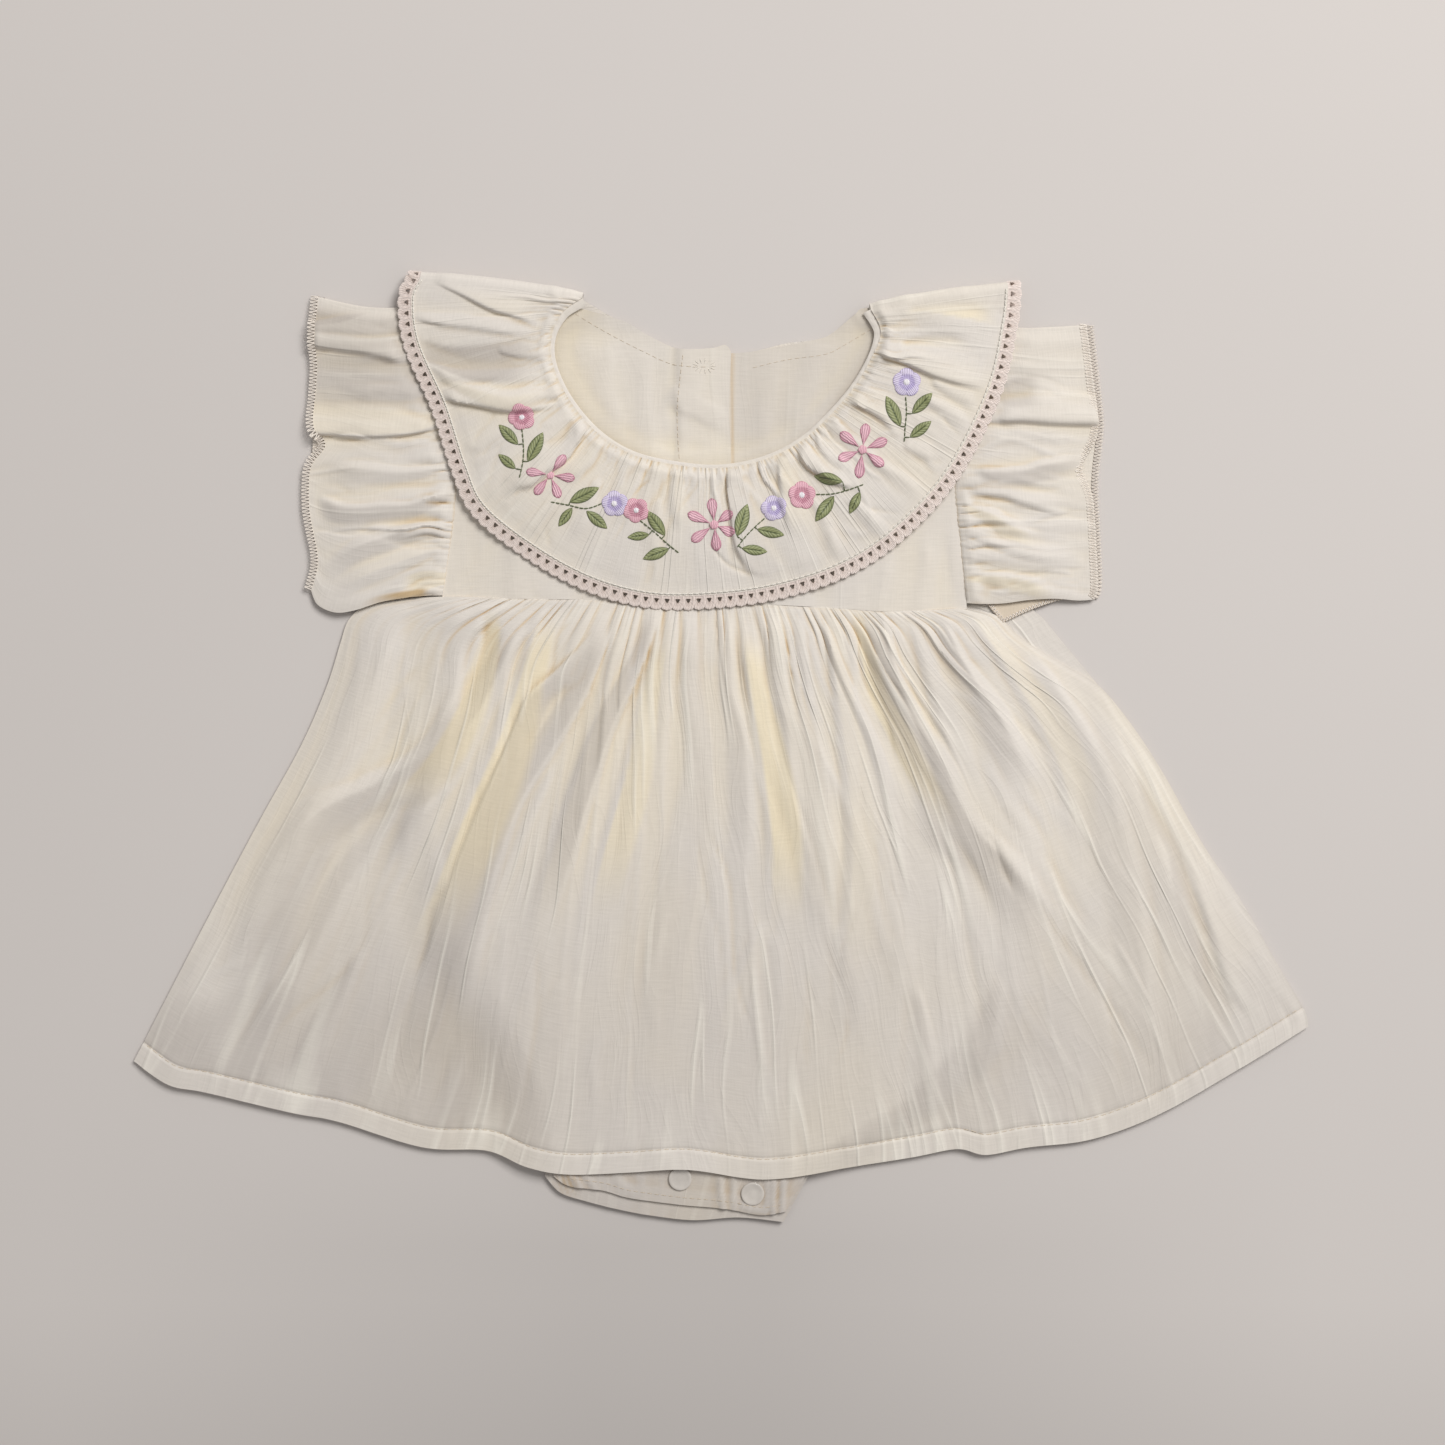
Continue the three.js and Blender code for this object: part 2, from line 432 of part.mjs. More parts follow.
// The front is ruled from the neck edge out to the armholes and the waist.
function bodiceFront() {
  const neck = line([SHOULDER_LEFT.neck, ...NECK_FRONT.slice(1, -1), SHOULDER_RIGHT.neck]);
  const waist = line(WAIST.map(([x, y]) => [x, y + CLOTH / 2 + GAP]));
  const armLeft = line(ARMHOLE_LEFT);
  const armRight = line(ARMHOLE_RIGHT);
  const corner = 0.3; // share of the outer edge that each armhole takes
  const outer = (u) => {
    if (u < corner - 1e-6) return armLeft(u / corner);
    if (u > 1 - corner + 1e-6) return armRight((1 - u) / corner);
    return waist((u - corner) / (1 - 2 * corner));
  };
  return wall(gridOf(evenly(6), evenly(40), (u, v) => {
    const p = neck(u).clone().lerp(outer(u), v);
    const height = mix(HEIGHT.frontBodiceSide, HEIGHT.frontBodice, bodiceSide(p.x));
    return new THREE.Vector3(p.x, p.y, height);
  }));
}

// ---------- collar ----------
const neckAt = line(NECK_FRONT);
const collarEdgeAt = line(COLLAR_EDGE);
// How far a point lies inside the collar's edge, below 0 outside it.
const EDGE_SAMPLES = evenly(80).map((t) => collarEdgeAt(t));
function insideCollar(x, y) {
  let nearest = Infinity;
  let inside = 0;
  for (let k = 1; k < EDGE_SAMPLES.length; k++) {
    const [a, b] = [EDGE_SAMPLES[k - 1], EDGE_SAMPLES[k]];
    const distance = Math.hypot(x - (a.x + b.x) / 2, y - (a.y + b.y) / 2);
    if (distance >= nearest) continue;
    nearest = distance;
    inside = ((x - a.x) * (b.y - a.y) - (y - a.y) * (b.x - a.x)) / -a.distanceTo(b);
  }
  return inside;
}
const collarBase = (v) => mix(HEIGHT.collarNeck, HEIGHT.collarEdge, smooth(v * 1.4));
const collarHeight = (x, y, u, v) => {
  const end = smooth(u / 0.03) * smooth((1 - u) / 0.03);
  const puff = mix(1.2, 2.6, Math.sin(Math.PI * Math.min(1, v * 1.1)));
  const folds = creaseHeight(COLLAR_CREASES, x, y) * mix(0.4, 1, end) * smooth(v / 0.1);
  return collarBase(v) + Math.max(0, puff + folds);
};
// A point carried round the fold over a shoulder: out points past the fold line, and the height changes
// by up to twice radius, downwards where it is below 0.
function roundShoulder(p, neckCurve, edgeCurve, end, radius, angle) {
  const along = edgeCurve(end).clone().sub(neckCurve(end)).normalize();
  const out = new THREE.Vector2(-along.y, along.x).multiplyScalar(along.x < 0 ? -1 : 1);
  const reach = Math.abs(radius) * Math.sin(angle);
  const rise = radius * (1 - Math.cos(angle));
  return new THREE.Vector3(p.x + out.x * reach, p.y + out.y * reach, p.z + rise);
}
function collarFront() {
  const seed = 2;
  const inner = gatherPlaces(GATHERS.neck, seed);
  const vs = [0, 0.07, 0.2, 0.4, 0.62, 0.84, 1];
  const flat = (u, v, j) => {
    const p = neckAt(u).clone().lerp(collarEdgeAt(u), v);
    const depth = mix(0.8, 2.4, smooth(v / 0.12)) * (1 - 0.85 * smooth((v - 0.15) / 0.6));
    const height = collarHeight(p.x, p.y, u, v) + gatherPeak(j, seed) * depth;
    return new THREE.Vector3(p.x, p.y, height);
  };
  const rolled = (end, angle, v) => {
    const p = flat(end, v, 0);
    return roundShoulder(p, neckAt, collarEdgeAt, end, (HEIGHT.backCollar - p.z) / 2, angle);
  };
  return wall(vs.map((v) => [
    ...SHOULDER_ROLL.toReversed().map((a) => rolled(0, a, v)),
    ...inner.map((u, j) => flat(u, v, j)),
    ...SHOULDER_ROLL.map((a) => rolled(1, a, v)),
  ]));
}
// Half of the ruffle's back, flat under the bodice, that curls up to meet the front at the shoulder fold.
function collarBack(neck, edge) {
  const neckCurve = line(neck);
  const edgeCurve = line(edge);
  const flat = (u, v) => {
    const p = neckCurve(u).clone().lerp(edgeCurve(u), v);
    return new THREE.Vector3(p.x, p.y, HEIGHT.backCollar);
  };
  const onLeft = neck[0][0] < 0;
  const rolled = (angle, v) => {
    const p = flat(0, v);
    const above = collarHeight(p.x, p.y, onLeft ? 0 : 1, v);
    return roundShoulder(p, neckCurve, edgeCurve, 0, (above - HEIGHT.backCollar) / 2, angle);
  };
  const grid = [0, 0.33, 0.66, 1].map((v) => [
    ...SHOULDER_CURL.toReversed().map((a) => rolled(a, v)),
    ...evenly(12).map((u) => flat(u, v)),
  ]);
  return wall(onLeft ? grid : grid.map((row) => row.toReversed()));
}
// A strip of lace along an edge, with a notch between each two scallops.
function laceStrip(points, heightAt, outward = 1) {
  const edge = line(points);
  const scallops = Math.round(curveLength(points) / LACE_PITCH);
  const perScallop = 2;
  const us = evenly(scallops * perScallop);
  const step = 1e-3;
  const rows = [0, 1].map((v) => us.map((u, j) => {
    const p = edge(u);
    const along = edge(u + step).clone().sub(edge(u - step)).normalize();
    const out = new THREE.Vector2(along.y, -along.x).multiplyScalar(outward);
    const dip = j % perScallop === 0 ? LACE_DIP : 0;
    const far = v ? LACE_WIDTH - dip : GAP;
    return new THREE.Vector3(p.x + out.x * far, p.y + out.y * far, heightAt(p.x, p.y, u));
  }));
  return wall(outward > 0 ? rows : rows.map((row) => row.toReversed()));
}

// A narrow strip that binds the front neck edge, and widens where it turns over the shoulders.
function neckBinding() {
  const us = evenly(40);
  const step = 1e-3;
  return wall([0, 1].map((v) => us.map((u) => {
    const p = neckAt(u);
    const along = neckAt(u + step).clone().sub(neckAt(u - step)).normalize();
    const inward = new THREE.Vector2(-along.y, along.x);
    const middle = smooth(u / 0.12) * smooth((1 - u) / 0.12);
    const far = CLOTH / 2 + GAP + v * mix(BINDING_AT_SHOULDER, BINDING_WIDTH, middle);
    const height = HEIGHT.collarNeck + BINDING_LIFT;
    return new THREE.Vector3(p.x + inward.x * far, p.y + inward.y * far, height);
  }).toReversed()), BINDING_THICK);
}

// ---------- sleeves ----------
// One folded strip: the front layer, the roll over the shoulder, and the back layer. facing is 1 on the
// left and -1 on the right, and peek says how far the back layer shows past the front at the outer corner
// and at the underarm.
function sleeve({ cut, armhole, creases, seed, facing, peek }) {
  const gapOut = new THREE.Vector2(-facing * SLEEVE_SEAM, 0);
  const inner = line(armhole.slice(0, -1).concat([cut.bottom[0]]));
  const seam = (t) => inner(t).clone().add(gapOut);
  const outer = line(cut.outer);
  const top = line(cut.top);
  const bottom = line(cut.bottom);
  // u runs from the shoulder (0) to the underarm (1), and v from the seam (0) to the outer edge (1).
  const ruled = (u, v) => seam(u).clone().lerp(outer(u), v);
  const place = (u, v) => {
    const topPull = top(v).clone().sub(ruled(0, v)).multiplyScalar((1 - u) ** 4);
    const bottomPull = bottom(v).clone().sub(ruled(1, v)).multiplyScalar(u ** 4);
    return ruled(u, v).add(topPull).add(bottomPull);
  };
  const backLevel = (v) => mix(HEIGHT.backBodice, FLOOR_LAYER, smooth((v - 0.6) / 0.35));
  const us = gatherPlaces(GATHERS.armhole, seed);
  const vs = [0, 0.1, 0.26, 0.46, 0.72, 1];
  const front = (u, v, j) => {
    const p = place(u, v);
    const end = smooth(u / 0.06) * smooth((1.03 - u) / 0.06);
    const depth = mix(0.7, 1.7, smooth(v / 0.2)) * (1 - 0.7 * smooth((v - 0.3) / 0.7));
    const gather = gatherPeak(j, seed) * depth;
    const puff = 1.3 * Math.sin(Math.PI * Math.min(1, 0.15 + v * 0.8)) * end;
    const folds = creaseHeight(creases, p.x, p.y) * end;
    const lift = Math.max(0, puff + gather * end + folds * smooth(v / 0.25));
    // It is pressed down below the collar and its lace.
    const covered = smooth((insideCollar(p.x, p.y) + 20) / 9);
    const free = backLevel(v) + LAYER + lift;
    return new THREE.Vector3(p.x, p.y, mix(free, Math.min(free, HEIGHT.underCollar), covered));
  };
  const back = (u, v) => {
    const p = place(u, v);
    const corner = v * smooth(u / 0.1) * (1 - smooth((u - 0.1) / 0.3)) * peek.corner;
    const nearSeam = smooth(v / 0.3) * smooth((0.75 - v) / 0.45);
    const underarm = nearSeam * smooth((u - 0.7) / 0.3) * peek.underarm;
    const x = p.x + facing * (1.2 * v * u - corner);
    return new THREE.Vector3(x, p.y + 1.5 * u - underarm, backLevel(v));
  };
  const roll = (v, angle) => {
    const p = front(0, v, 0);
    const low = backLevel(v);
    const r = (p.z - low) / 2;
    return new THREE.Vector3(p.x, p.y + r * Math.sin(angle), p.z - r * (1 - Math.cos(angle)));
  };
  const grid = vs.map((v) => [
    ...us.map((u, j) => front(u, v, j)).toReversed(),
    ...SLEEVE_ROLL.map((a) => roll(v, a)),
    ...evenly(9).map((u) => back(u, v)),
  ]);
  return wall(facing < 0 ? grid.map((row) => row.toReversed()) : grid);
}

// ---------- the garment ----------
addPiece("skirt_back", skirtBack());
addPiece("skirt_front", skirtFront());
addPiece("bloomer_back", bloomer(BLOOMER_BACK_HEM, FLOOR_LAYER + LAYER, [], 0));
addPiece("bloomer_front", bloomer(BLOOMER_FRONT_HEM, HEIGHT.crotchFlap, FLAP_CREASES, 1));
addPiece("bodice_back_left", bodiceBackLeft());
addPiece("bodice_back_right", bodiceBackRight());
addPiece("bodice_front", bodiceFront());
addPiece("collar_front", collarFront());
addPiece("collar_back_left", collarBack(NECK_BACK_LEFT, COLLAR_BACK_EDGE_LEFT));
addPiece("collar_back_right", collarBack(NECK_BACK_RIGHT, COLLAR_BACK_EDGE_RIGHT));
const atFrontEdge = (x, y, u) => collarHeight(x, y, u, 1);
const atBackEdge = () => HEIGHT.backCollar;
addPiece("lace_front", laceStrip(COLLAR_EDGE, atFrontEdge), COLOURS.lace);
addPiece("lace_back_left", laceStrip(COLLAR_BACK_EDGE_LEFT, atBackEdge), COLOURS.lace);
addPiece("lace_back_right", laceStrip(COLLAR_BACK_EDGE_RIGHT, atBackEdge, -1), COLOURS.lace);
addPiece("neck_binding", neckBinding());
addPiece("sleeve_left", sleeve({
  cut: SLEEVE_LEFT,
  armhole: ARMHOLE_LEFT,
  creases: SLEEVE_LEFT_CREASES,
  seed: 3,
  facing: 1,
  peek: { corner: 3.5, underarm: 0 },
}));
addPiece("sleeve_right", sleeve({
  cut: SLEEVE_RIGHT,
  armhole: ARMHOLE_RIGHT,
  creases: SLEEVE_RIGHT_CREASES,
  seed: 4,
  facing: -1,
  peek: { corner: 0, underarm: 8 },
}));
const onFlap = HEIGHT.crotchFlap + CLOTH / 2 + GAP;
for (const [k, [x, y]] of SNAPS.entries()) {
  addPiece(`snap_cap_${k + 1}`, snapCap().translate(x, y, onFlap), COLOURS.snap, 0.4);
}

// The origin is the middle of the outline, on the surface below.
const middle = new THREE.Box3().setFromObject(romper).getCenter(new THREE.Vector3());
for (const piece of romper.children) piece.geometry.translate(-middle.x, -middle.y, 0);
export default romper;
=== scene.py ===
"""Fine model of a baby romper laid flat: gathered skirt, bloomers, bodice, flutter sleeves and embroidered ruffle."""

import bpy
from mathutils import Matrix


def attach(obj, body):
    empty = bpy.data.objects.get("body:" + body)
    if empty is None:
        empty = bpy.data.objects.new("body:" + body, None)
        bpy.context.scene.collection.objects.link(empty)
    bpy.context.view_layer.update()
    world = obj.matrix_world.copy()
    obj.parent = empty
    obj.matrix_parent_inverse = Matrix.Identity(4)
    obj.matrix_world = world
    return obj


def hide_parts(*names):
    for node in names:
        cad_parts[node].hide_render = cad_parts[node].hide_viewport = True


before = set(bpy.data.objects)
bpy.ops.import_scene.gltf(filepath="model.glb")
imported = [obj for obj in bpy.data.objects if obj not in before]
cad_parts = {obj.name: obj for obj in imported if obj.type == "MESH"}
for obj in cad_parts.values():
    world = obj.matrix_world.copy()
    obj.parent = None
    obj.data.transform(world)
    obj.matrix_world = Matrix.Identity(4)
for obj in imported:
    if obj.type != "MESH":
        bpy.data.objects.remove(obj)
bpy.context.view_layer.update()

import logging
import math
from dataclasses import dataclass, field
from enum import Enum
from typing import Callable, Sequence

import bpy
import numpy as np
from mathutils import Vector
from mathutils.bvhtree import BVHTree

LOG = logging.getLogger("romper")
MM = 0.001
CLOTH = 0.6  # thickness of one layer, mm
LAYER = 1.3  # height that one more layer adds, mm
FLOOR = 0.5  # middle of the layer that lies on the surface, mm
HEIGHTS = {
    "back_collar": FLOOR,
    "back_bodice": FLOOR + LAYER,
    "front_bodice": FLOOR + 3 * LAYER,
    "front_bodice_side": FLOOR + 2 * LAYER,
    "crotch_flap": FLOOR + 2 * LAYER,
    "collar_neck": FLOOR + 4 * LAYER,
    "collar_edge": 6.6,
    "under_collar": 5.2,
    "skirt_side": FLOOR + LAYER,
    "skirt_over_bloomers": FLOOR + 3 * LAYER,
}
GATHERS = {"waist": 44, "neck": 46, "armhole": 20}
Array = np.ndarray
Points = Sequence[tuple[float, float]]
Piece = bpy.types.Object
Surface = tuple[Array, Array, dict[str, Array]]  # points, place on the uncut cloth, marks

# ---------------------------------------------------------------- outlines, mm, seen from above
WAIST: Points = ((-125, 67), (-95, 66.2), (-55, 65.8), (0, 64.6), (45, 62.4), (80, 60.3), (110.3, 61.7))
HEM: Points = (
    (-263.7, -141.5), (-248, -152), (-231, -155.5), (-193, -164.5), (-172, -168.5), (-134, -180), (-105, -181.5),
    (-87, -188.5), (-68, -191.8), (-40, -190.8), (-15, -189.5), (20, -194), (58, -188.8), (86, -184.5),
    (106, -180.8), (119, -183.4), (138, -180), (166, -176.5), (196, -165.5), (232, -145.2), (263.7, -126),
)
SKIRT_LEFT: Points = (
    (-125, 67), (-139, 66.6), (-158, 63.6), (-167, 57), (-171, 46), (-177, 27), (-188.5, 0.5), (-207, -33),
    (-228.5, -73.4), (-248, -111), (-263.7, -141.5),
)
SKIRT_RIGHT: Points = (
    (110.3, 61.7), (124, 58.5), (133, 50), (144, 42.5), (157, 35), (171, 26), (186.8, 6.3), (200.3, -15), (212, -36.5),
    (221, -51), (234, -70), (252, -101.5), (262, -118.5), (263.7, -126),
)
BACK_SKIRT_LEFT: Points = ((-125, 67), (-130, 70), (-142, 69), (-158, 63.6)) + SKIRT_LEFT[3:]
BACK_SKIRT_RIGHT: Points = ((110.3, 61.7), (116, 66), (130, 65.5), (142, 60.5), (153.5, 47.3)) + SKIRT_RIGHT[5:]
NECK_FRONT: Points = (
    (-62, 200.5), (-71, 194), (-75.8, 183), (-75, 170), (-67.5, 154.4), (-55, 140), (-39.6, 130.5), (-20, 125.8),
    (0, 124.4), (20, 128.4), (38, 138), (55.8, 155.7), (66, 171), (71.5, 185), (67, 195.5),
)
COLLAR_EDGE: Points = (
    (-134.5, 209), (-138.5, 200), (-136, 180), (-124, 152.5), (-115, 125), (-106, 106.5), (-82.5, 88), (-58, 74.8),
    (-33.5, 68), (-9, 67.3), (22, 71), (52.5, 80.6), (77, 96.3), (101.5, 123), (120, 159.5), (127, 190), (128.5, 204.5),
)
NECK_BACK_LEFT: Points = ((-62, 200.5), (-47.3, 192), (-32.4, 184.3), (-19, 178.4), (-6, 177.5))
NECK_BACK_RIGHT: Points = ((67, 195.5), (51, 186.2), (44.6, 183), (29.3, 181), (12, 177), (-4.8, 176.8))
RUFFLE_BACK_LEFT: Points = (
    (-134.5, 209), (-136, 190), (-128, 160), (-106, 132), (-72, 113), (-38, 105), (-6, 103),
)
RUFFLE_BACK_RIGHT: Points = (
    (128.5, 204.5), (127, 186), (118, 158), (98, 130), (66, 112), (32, 105), (-4.8, 103),
)
ARMHOLE_LEFT: Points = ((-106, 200), (-112, 170), (-118, 130), (-121, 98), (-125, 68))
ARMHOLE_RIGHT: Points = ((96, 196), (101, 165), (104.5, 125), (106.5, 105), (110.3, 62.5))
SHOULDER_LEFT: Points = ((-61, 200.6), (-106, 200))  # neck end, tip
SHOULDER_RIGHT: Points = ((66, 196.5), (96, 196))
BLOOMER_LEFT: Points = (
    (-110, 58), (-120, 20), (-124, -30), (-112, -85), (-101, -110), (-88, -135), (-79, -160), (-77, -178),
)
BLOOMER_RIGHT: Points = (
    (101, 58), (116, 20), (127, -30), (125, -85), (118, -110), (105, -135), (80, -160), (50, -178), (33, -190),
)
BLOOMER_BACK_HEM: Points = (
    (-79, -193), (-72, -200.5), (-60, -204.5), (-46, -208), (-31, -210.8), (-12, -212.8), (8, -211.6), (28, -213.6),
)
BLOOMER_FRONT_HEM: Points = (
    (-75, -193), (-68, -197.3), (-53, -199.3), (-41, -202.6), (-19, -205.6), (2, -207.5), (18, -210.2), (29, -208.5),
)
SNAPS: Points = ((14.2, -200.7), (-18.3, -194))
CUT_CORNER = (-140, 220)  # corner from which a flat piece's cloth is measured


# ---------------------------------------------------------------- shape helpers
def smooth(t: Array | float) -> Array:
    """Ease from 0 to 1 as t goes from 0 to 1."""
    c = np.clip(t, 0, 1)
    return c * c * (3 - 2 * c)


def mix(a: Array | float, b: Array | float, t: Array | float) -> Array:
    """Blend from a to b."""
    return a + (b - a) * t


def off_ends(t: Array, width: float) -> Array:
    """1 along the middle of a share from 0 to 1, easing to 0 over a width at both ends."""
    return smooth(t / width) * smooth((1 - t) / width)


def uneven(k: Array | int, seed: int) -> Array:
    """Repeatable uneven number from 0 to 1 for the k-th fold of a seam."""
    s = np.sin(np.asarray(k, float) * 12.9898 + seed * 78.233) * 43758.5453
    return s - np.floor(s)


def wander(x: Array, y: Array, seed: int) -> Array:
    """Smooth noise from -1 to 1 over a plane whose lattice is 1 unit wide.

    Args:
        x: First coordinate, in lattice units.
        y: Second coordinate, in lattice units.
        seed: Picks the pattern.

    Returns:
        The noise, in the shape that x and y share.
    """
    table = np.random.default_rng(seed).uniform(-1, 1, (256, 256))
    x, y = np.broadcast_arrays(np.asarray(x, float), np.asarray(y, float))
    i, j = np.floor(x).astype(int), np.floor(y).astype(int)
    fx, fy = smooth(x - i), smooth(y - j)
    near, far = (mix(table[i % 256, (j + k) % 256], table[(i + 1) % 256, (j + k) % 256], fx) for k in (0, 1))
    return mix(near, far, fy)


class Line:
    """A smooth curve through a row of points, walked by its length."""

    def __init__(self, points: Points, steps: int = 24) -> None:
        """Fit the curve.

        Args:
            points: What it passes through, mm.
            steps: Samples for each span.
        """
        p = np.array(points, float)
        ends = np.vstack([p[:1], p, p[-1:]])
        t = np.linspace(0, 1, steps, endpoint=False)[:, None]
        spans = []
        for a, b, c, d in zip(ends, ends[1:], ends[2:], ends[3:]):
            m0, m1 = (c - a) / 2, (d - b) / 2
            spans.append((2 * b - 2 * c + m0 + m1) * t**3 + (-3 * b + 3 * c - 2 * m0 - m1) * t**2 + m0 * t + b)
        self.samples = np.vstack([*spans, p[-1:]])
        gone = np.r_[0, np.cumsum(np.linalg.norm(np.diff(self.samples, axis=0), axis=1))]
        self.length = float(gone[-1])
        self.share = gone / self.length

    def at(self, t: Array | float) -> Array:
        """Points at shares t of the length, with x and y on the last axis."""
        t = np.clip(t, 0, 1)
        return np.stack([np.interp(t, self.share, self.samples[:, k]) for k in (0, 1)], -1)

    def along(self, t: Array | float) -> Array:
        """Unit direction at shares t of the length."""
        d = self.at(np.asarray(t) + 2e-3) - self.at(np.asarray(t) - 2e-3)
        return d / np.linalg.norm(d, axis=-1, keepdims=True)

    def shifted(self, t: Array | float, right: Array | float) -> Array:
        """Points at shares t, moved to the right of the walking direction by some mm."""
        d = self.along(t)
        return self.at(t) + np.stack([d[..., 1], -d[..., 0]], -1) * np.asarray(right)[..., None]


@dataclass(frozen=True)
class Crease:
    """A soft ridge (high above 0) or trough (below 0) along a bowed line, mm."""

    x0: float
    y0: float
    x1: float
    y1: float
    bow: float
    sway: float
    half: float
    high: float
    steep: float = 1.0

    def measure(self, x: Array, y: Array) -> tuple[Array, Array]:
        """How far along the line a point is, from 0 to 1, and how far to its side in mm."""
        dx, dy = self.x1 - self.x0, self.y1 - self.y0
        length = math.hypot(dx, dy)
        t = ((x - self.x0) * dx + (y - self.y0) * dy) / length**2
        bend = self.bow * 4 * t * (1 - t) + self.sway * np.sin(2 * math.pi * np.clip(t, 0, 1))
        return t, ((x - self.x0) * dy - (y - self.y0) * dx) / length - bend

    def profile(self, x: Array, y: Array) -> Array:
        """Share of the full height at each point, from 0 to 1."""
        t, side = self.measure(x, y)
        across = side / np.where(side < 0, self.half / self.steep, self.half)
        return np.exp(-across * across) * smooth((t + 0.1) / 0.2) * smooth((1.1 - t) / 0.35)


def fold_height(creases: Sequence[Crease], x: Array, y: Array) -> Array:
    """Height of all the creases at each point, mm."""
    return sum((c.high * c.profile(x, y) for c in creases), np.zeros_like(x))


@dataclass(frozen=True)
class Fold:
    """A long fold along a drawn line, whose height falls evenly to each side, so that each side is a plain band."""

    places: tuple[float, ...]  # x and y in turn
    west: float
    east: float
    high: float
    # Above 0 paints warm light over the wider side, below 0 paints cool shade there.
    tone: float = 0.0
    over: float = 0.0
    tail: float = 0.35

    @property
    def points(self) -> Points:
        """The line's points."""
        return tuple(zip(self.places[::2], self.places[1::2]))

    @property
    def upright(self) -> bool:
        """True if the fold runs down rather than across."""
        (x0, y0), (x1, y1) = self.points[0], self.points[-1]
        return abs(y1 - y0) > abs(x1 - x0)

    def measure(self, x: Array, y: Array) -> tuple[Array, Array]:
        """How far along the line a point is, from 0 to 1, and how far to its side, mm, below 0 to the west or south."""
        line = Line(self.points, 10).at(np.linspace(0, 1, 50))
        along, across = (line[:, 1], line[:, 0]) if self.upright else (line[:, 0], line[:, 1])
        a, c = (y, x) if self.upright else (x, y)
        order = np.argsort(along)
        slope = np.interp(a, along[order], np.gradient(across[order], along[order]))
        t = (a - along[0]) / (along[-1] - along[0])
        return t, (c - np.interp(a, along[order], across[order])) / np.sqrt(1 + slope**2)

    def lay(self, x: Array, y: Array) -> tuple[Array, Array, Array]:
        """Height at each point, mm, share of the wider side's painted light or shade, from 0 to 1, and lean over the
        steep side, mm.
        """
        t, side = self.measure(x, y)
        ends = smooth((t + 0.03) / 0.14) * smooth((1 - t) / self.tail)
        grow = mix(0.5, 1.15, smooth(t / 0.6))
        crest = 0.5 + 0.7 * self.over
        far = np.sqrt(side * side + crest) - math.sqrt(crest)
        share = np.clip(1 - far / (np.where(side < 0, self.west, self.east) * grow), 0, 1)
        steep = np.sign(self.west - self.east)
        band = smooth((0.8 - side * steep) / 1.6) if steep else 1.0
        lean = steep * self.over * share**2 * ends
        return self.high * share * ends, band * smooth(share / 0.3) * ends, lean


def lay_folds(folds: Sequence[Fold], x: Array, y: Array) -> tuple[Array, Array, Array, Array]:
    """Lay all the folds of a panel.

    Args:
        folds: The folds.
        x: First coordinate of each point, mm.
        y: Second coordinate, mm.

    Returns:
        Height, mm; shares of painted warm light and of painted cool shade, from 0 to 1; and lean along x and y, mm.
    """
    height, fold_warm_light, fold_cool_shade, lean = np.zeros_like(x), np.zeros_like(x), np.zeros_like(x), np.zeros((*x.shape, 2))
    for fold in folds:
        high, band, shift = fold.lay(x, y)
        height += high
        fold_warm_light = np.maximum(fold_warm_light, band * fold.tone)
        fold_cool_shade = np.maximum(fold_cool_shade, -band * fold.tone)
        lean[..., 0 if fold.upright else 1] += shift
    return height, fold_warm_light, fold_cool_shade, lean


def scattered(
    top: Line, bottom: Line, count: int, seed: int, long: tuple[float, float], half: tuple[float, float], high: float
) -> tuple[Crease, ...]:
    """Small uneven creases that run down a panel.

    Args:
        top: The panel's upper edge.
        bottom: Its lower edge.
        count: How many creases.
        seed: Picks their places.
        long: Shortest and longest, as shares of the way down.
        half: Narrowest and widest half width, mm.
        high: Greatest height or depth, mm.

    Returns:
        The creases.
    """
    draw, creases = np.random.default_rng(seed), []
    for _ in range(count):
        u, v, reach = draw.uniform(0.02, 0.98), draw.uniform(0, 0.85), draw.uniform(*long)
        lean = draw.normal(0, 0.07) * reach
        (x0, y0), (x1, y1) = (mix(top.at(a), bottom.at(a), b) for a, b in ((u, v), (u + lean, v + reach)))
        bow, sway = draw.normal(0, 0.03, 2) * math.hypot(x1 - x0, y1 - y0)
        tall = high * draw.choice((-1, 0.75)) * draw.uniform(0.35, 1)
        creases.append(Crease(x0, y0, x1, y1, bow, sway, draw.uniform(*half), tall, draw.uniform(1, 2.4)))
    return tuple(creases)


def panel(top: Line, bottom: Line, left: Line, right: Line, u: Array, v: Array, reach: float = 3) -> Array:
    """Points of a panel between four edges.

    Args:
        top: Upper edge, from left to right.
        bottom: Lower edge, from left to right.
        left: Left edge, from top to bottom.
        right: Right edge, from top to bottom.
        u: Shares across, one for each column.
        v: Shares down, one for each row.
        reach: How quickly the shape of a side edge fades towards the middle.

    Returns:
        An array of rows by columns by 2, mm.
    """
    a, b = top.at(u)[None], bottom.at(u)[None]
    down, across = v[:, None, None], u[None, :, None]
    ruled = mix(a, b, down)
    pull_left = left.at(v)[:, None] - mix(a[:, :1], b[:, :1], down)
    pull_right = right.at(v)[:, None] - mix(a[:, -1:], b[:, -1:], down)
    return ruled + pull_left * (1 - across) ** reach + pull_right * across**reach


def gather_places(count: int, seed: int) -> Array:
    """Uneven places of the valleys and peaks of a gathered seam, from 0 to 1."""
    widths = 0.4 + 1.3 * uneven(np.arange(count), seed) ** 1.3
    ends = np.r_[0, np.cumsum(widths)]
    places = np.empty(2 * count + 1)
    places[0::2], places[1::2] = ends, (ends[:-1] + ends[1:]) / 2
    return places / places[-1]


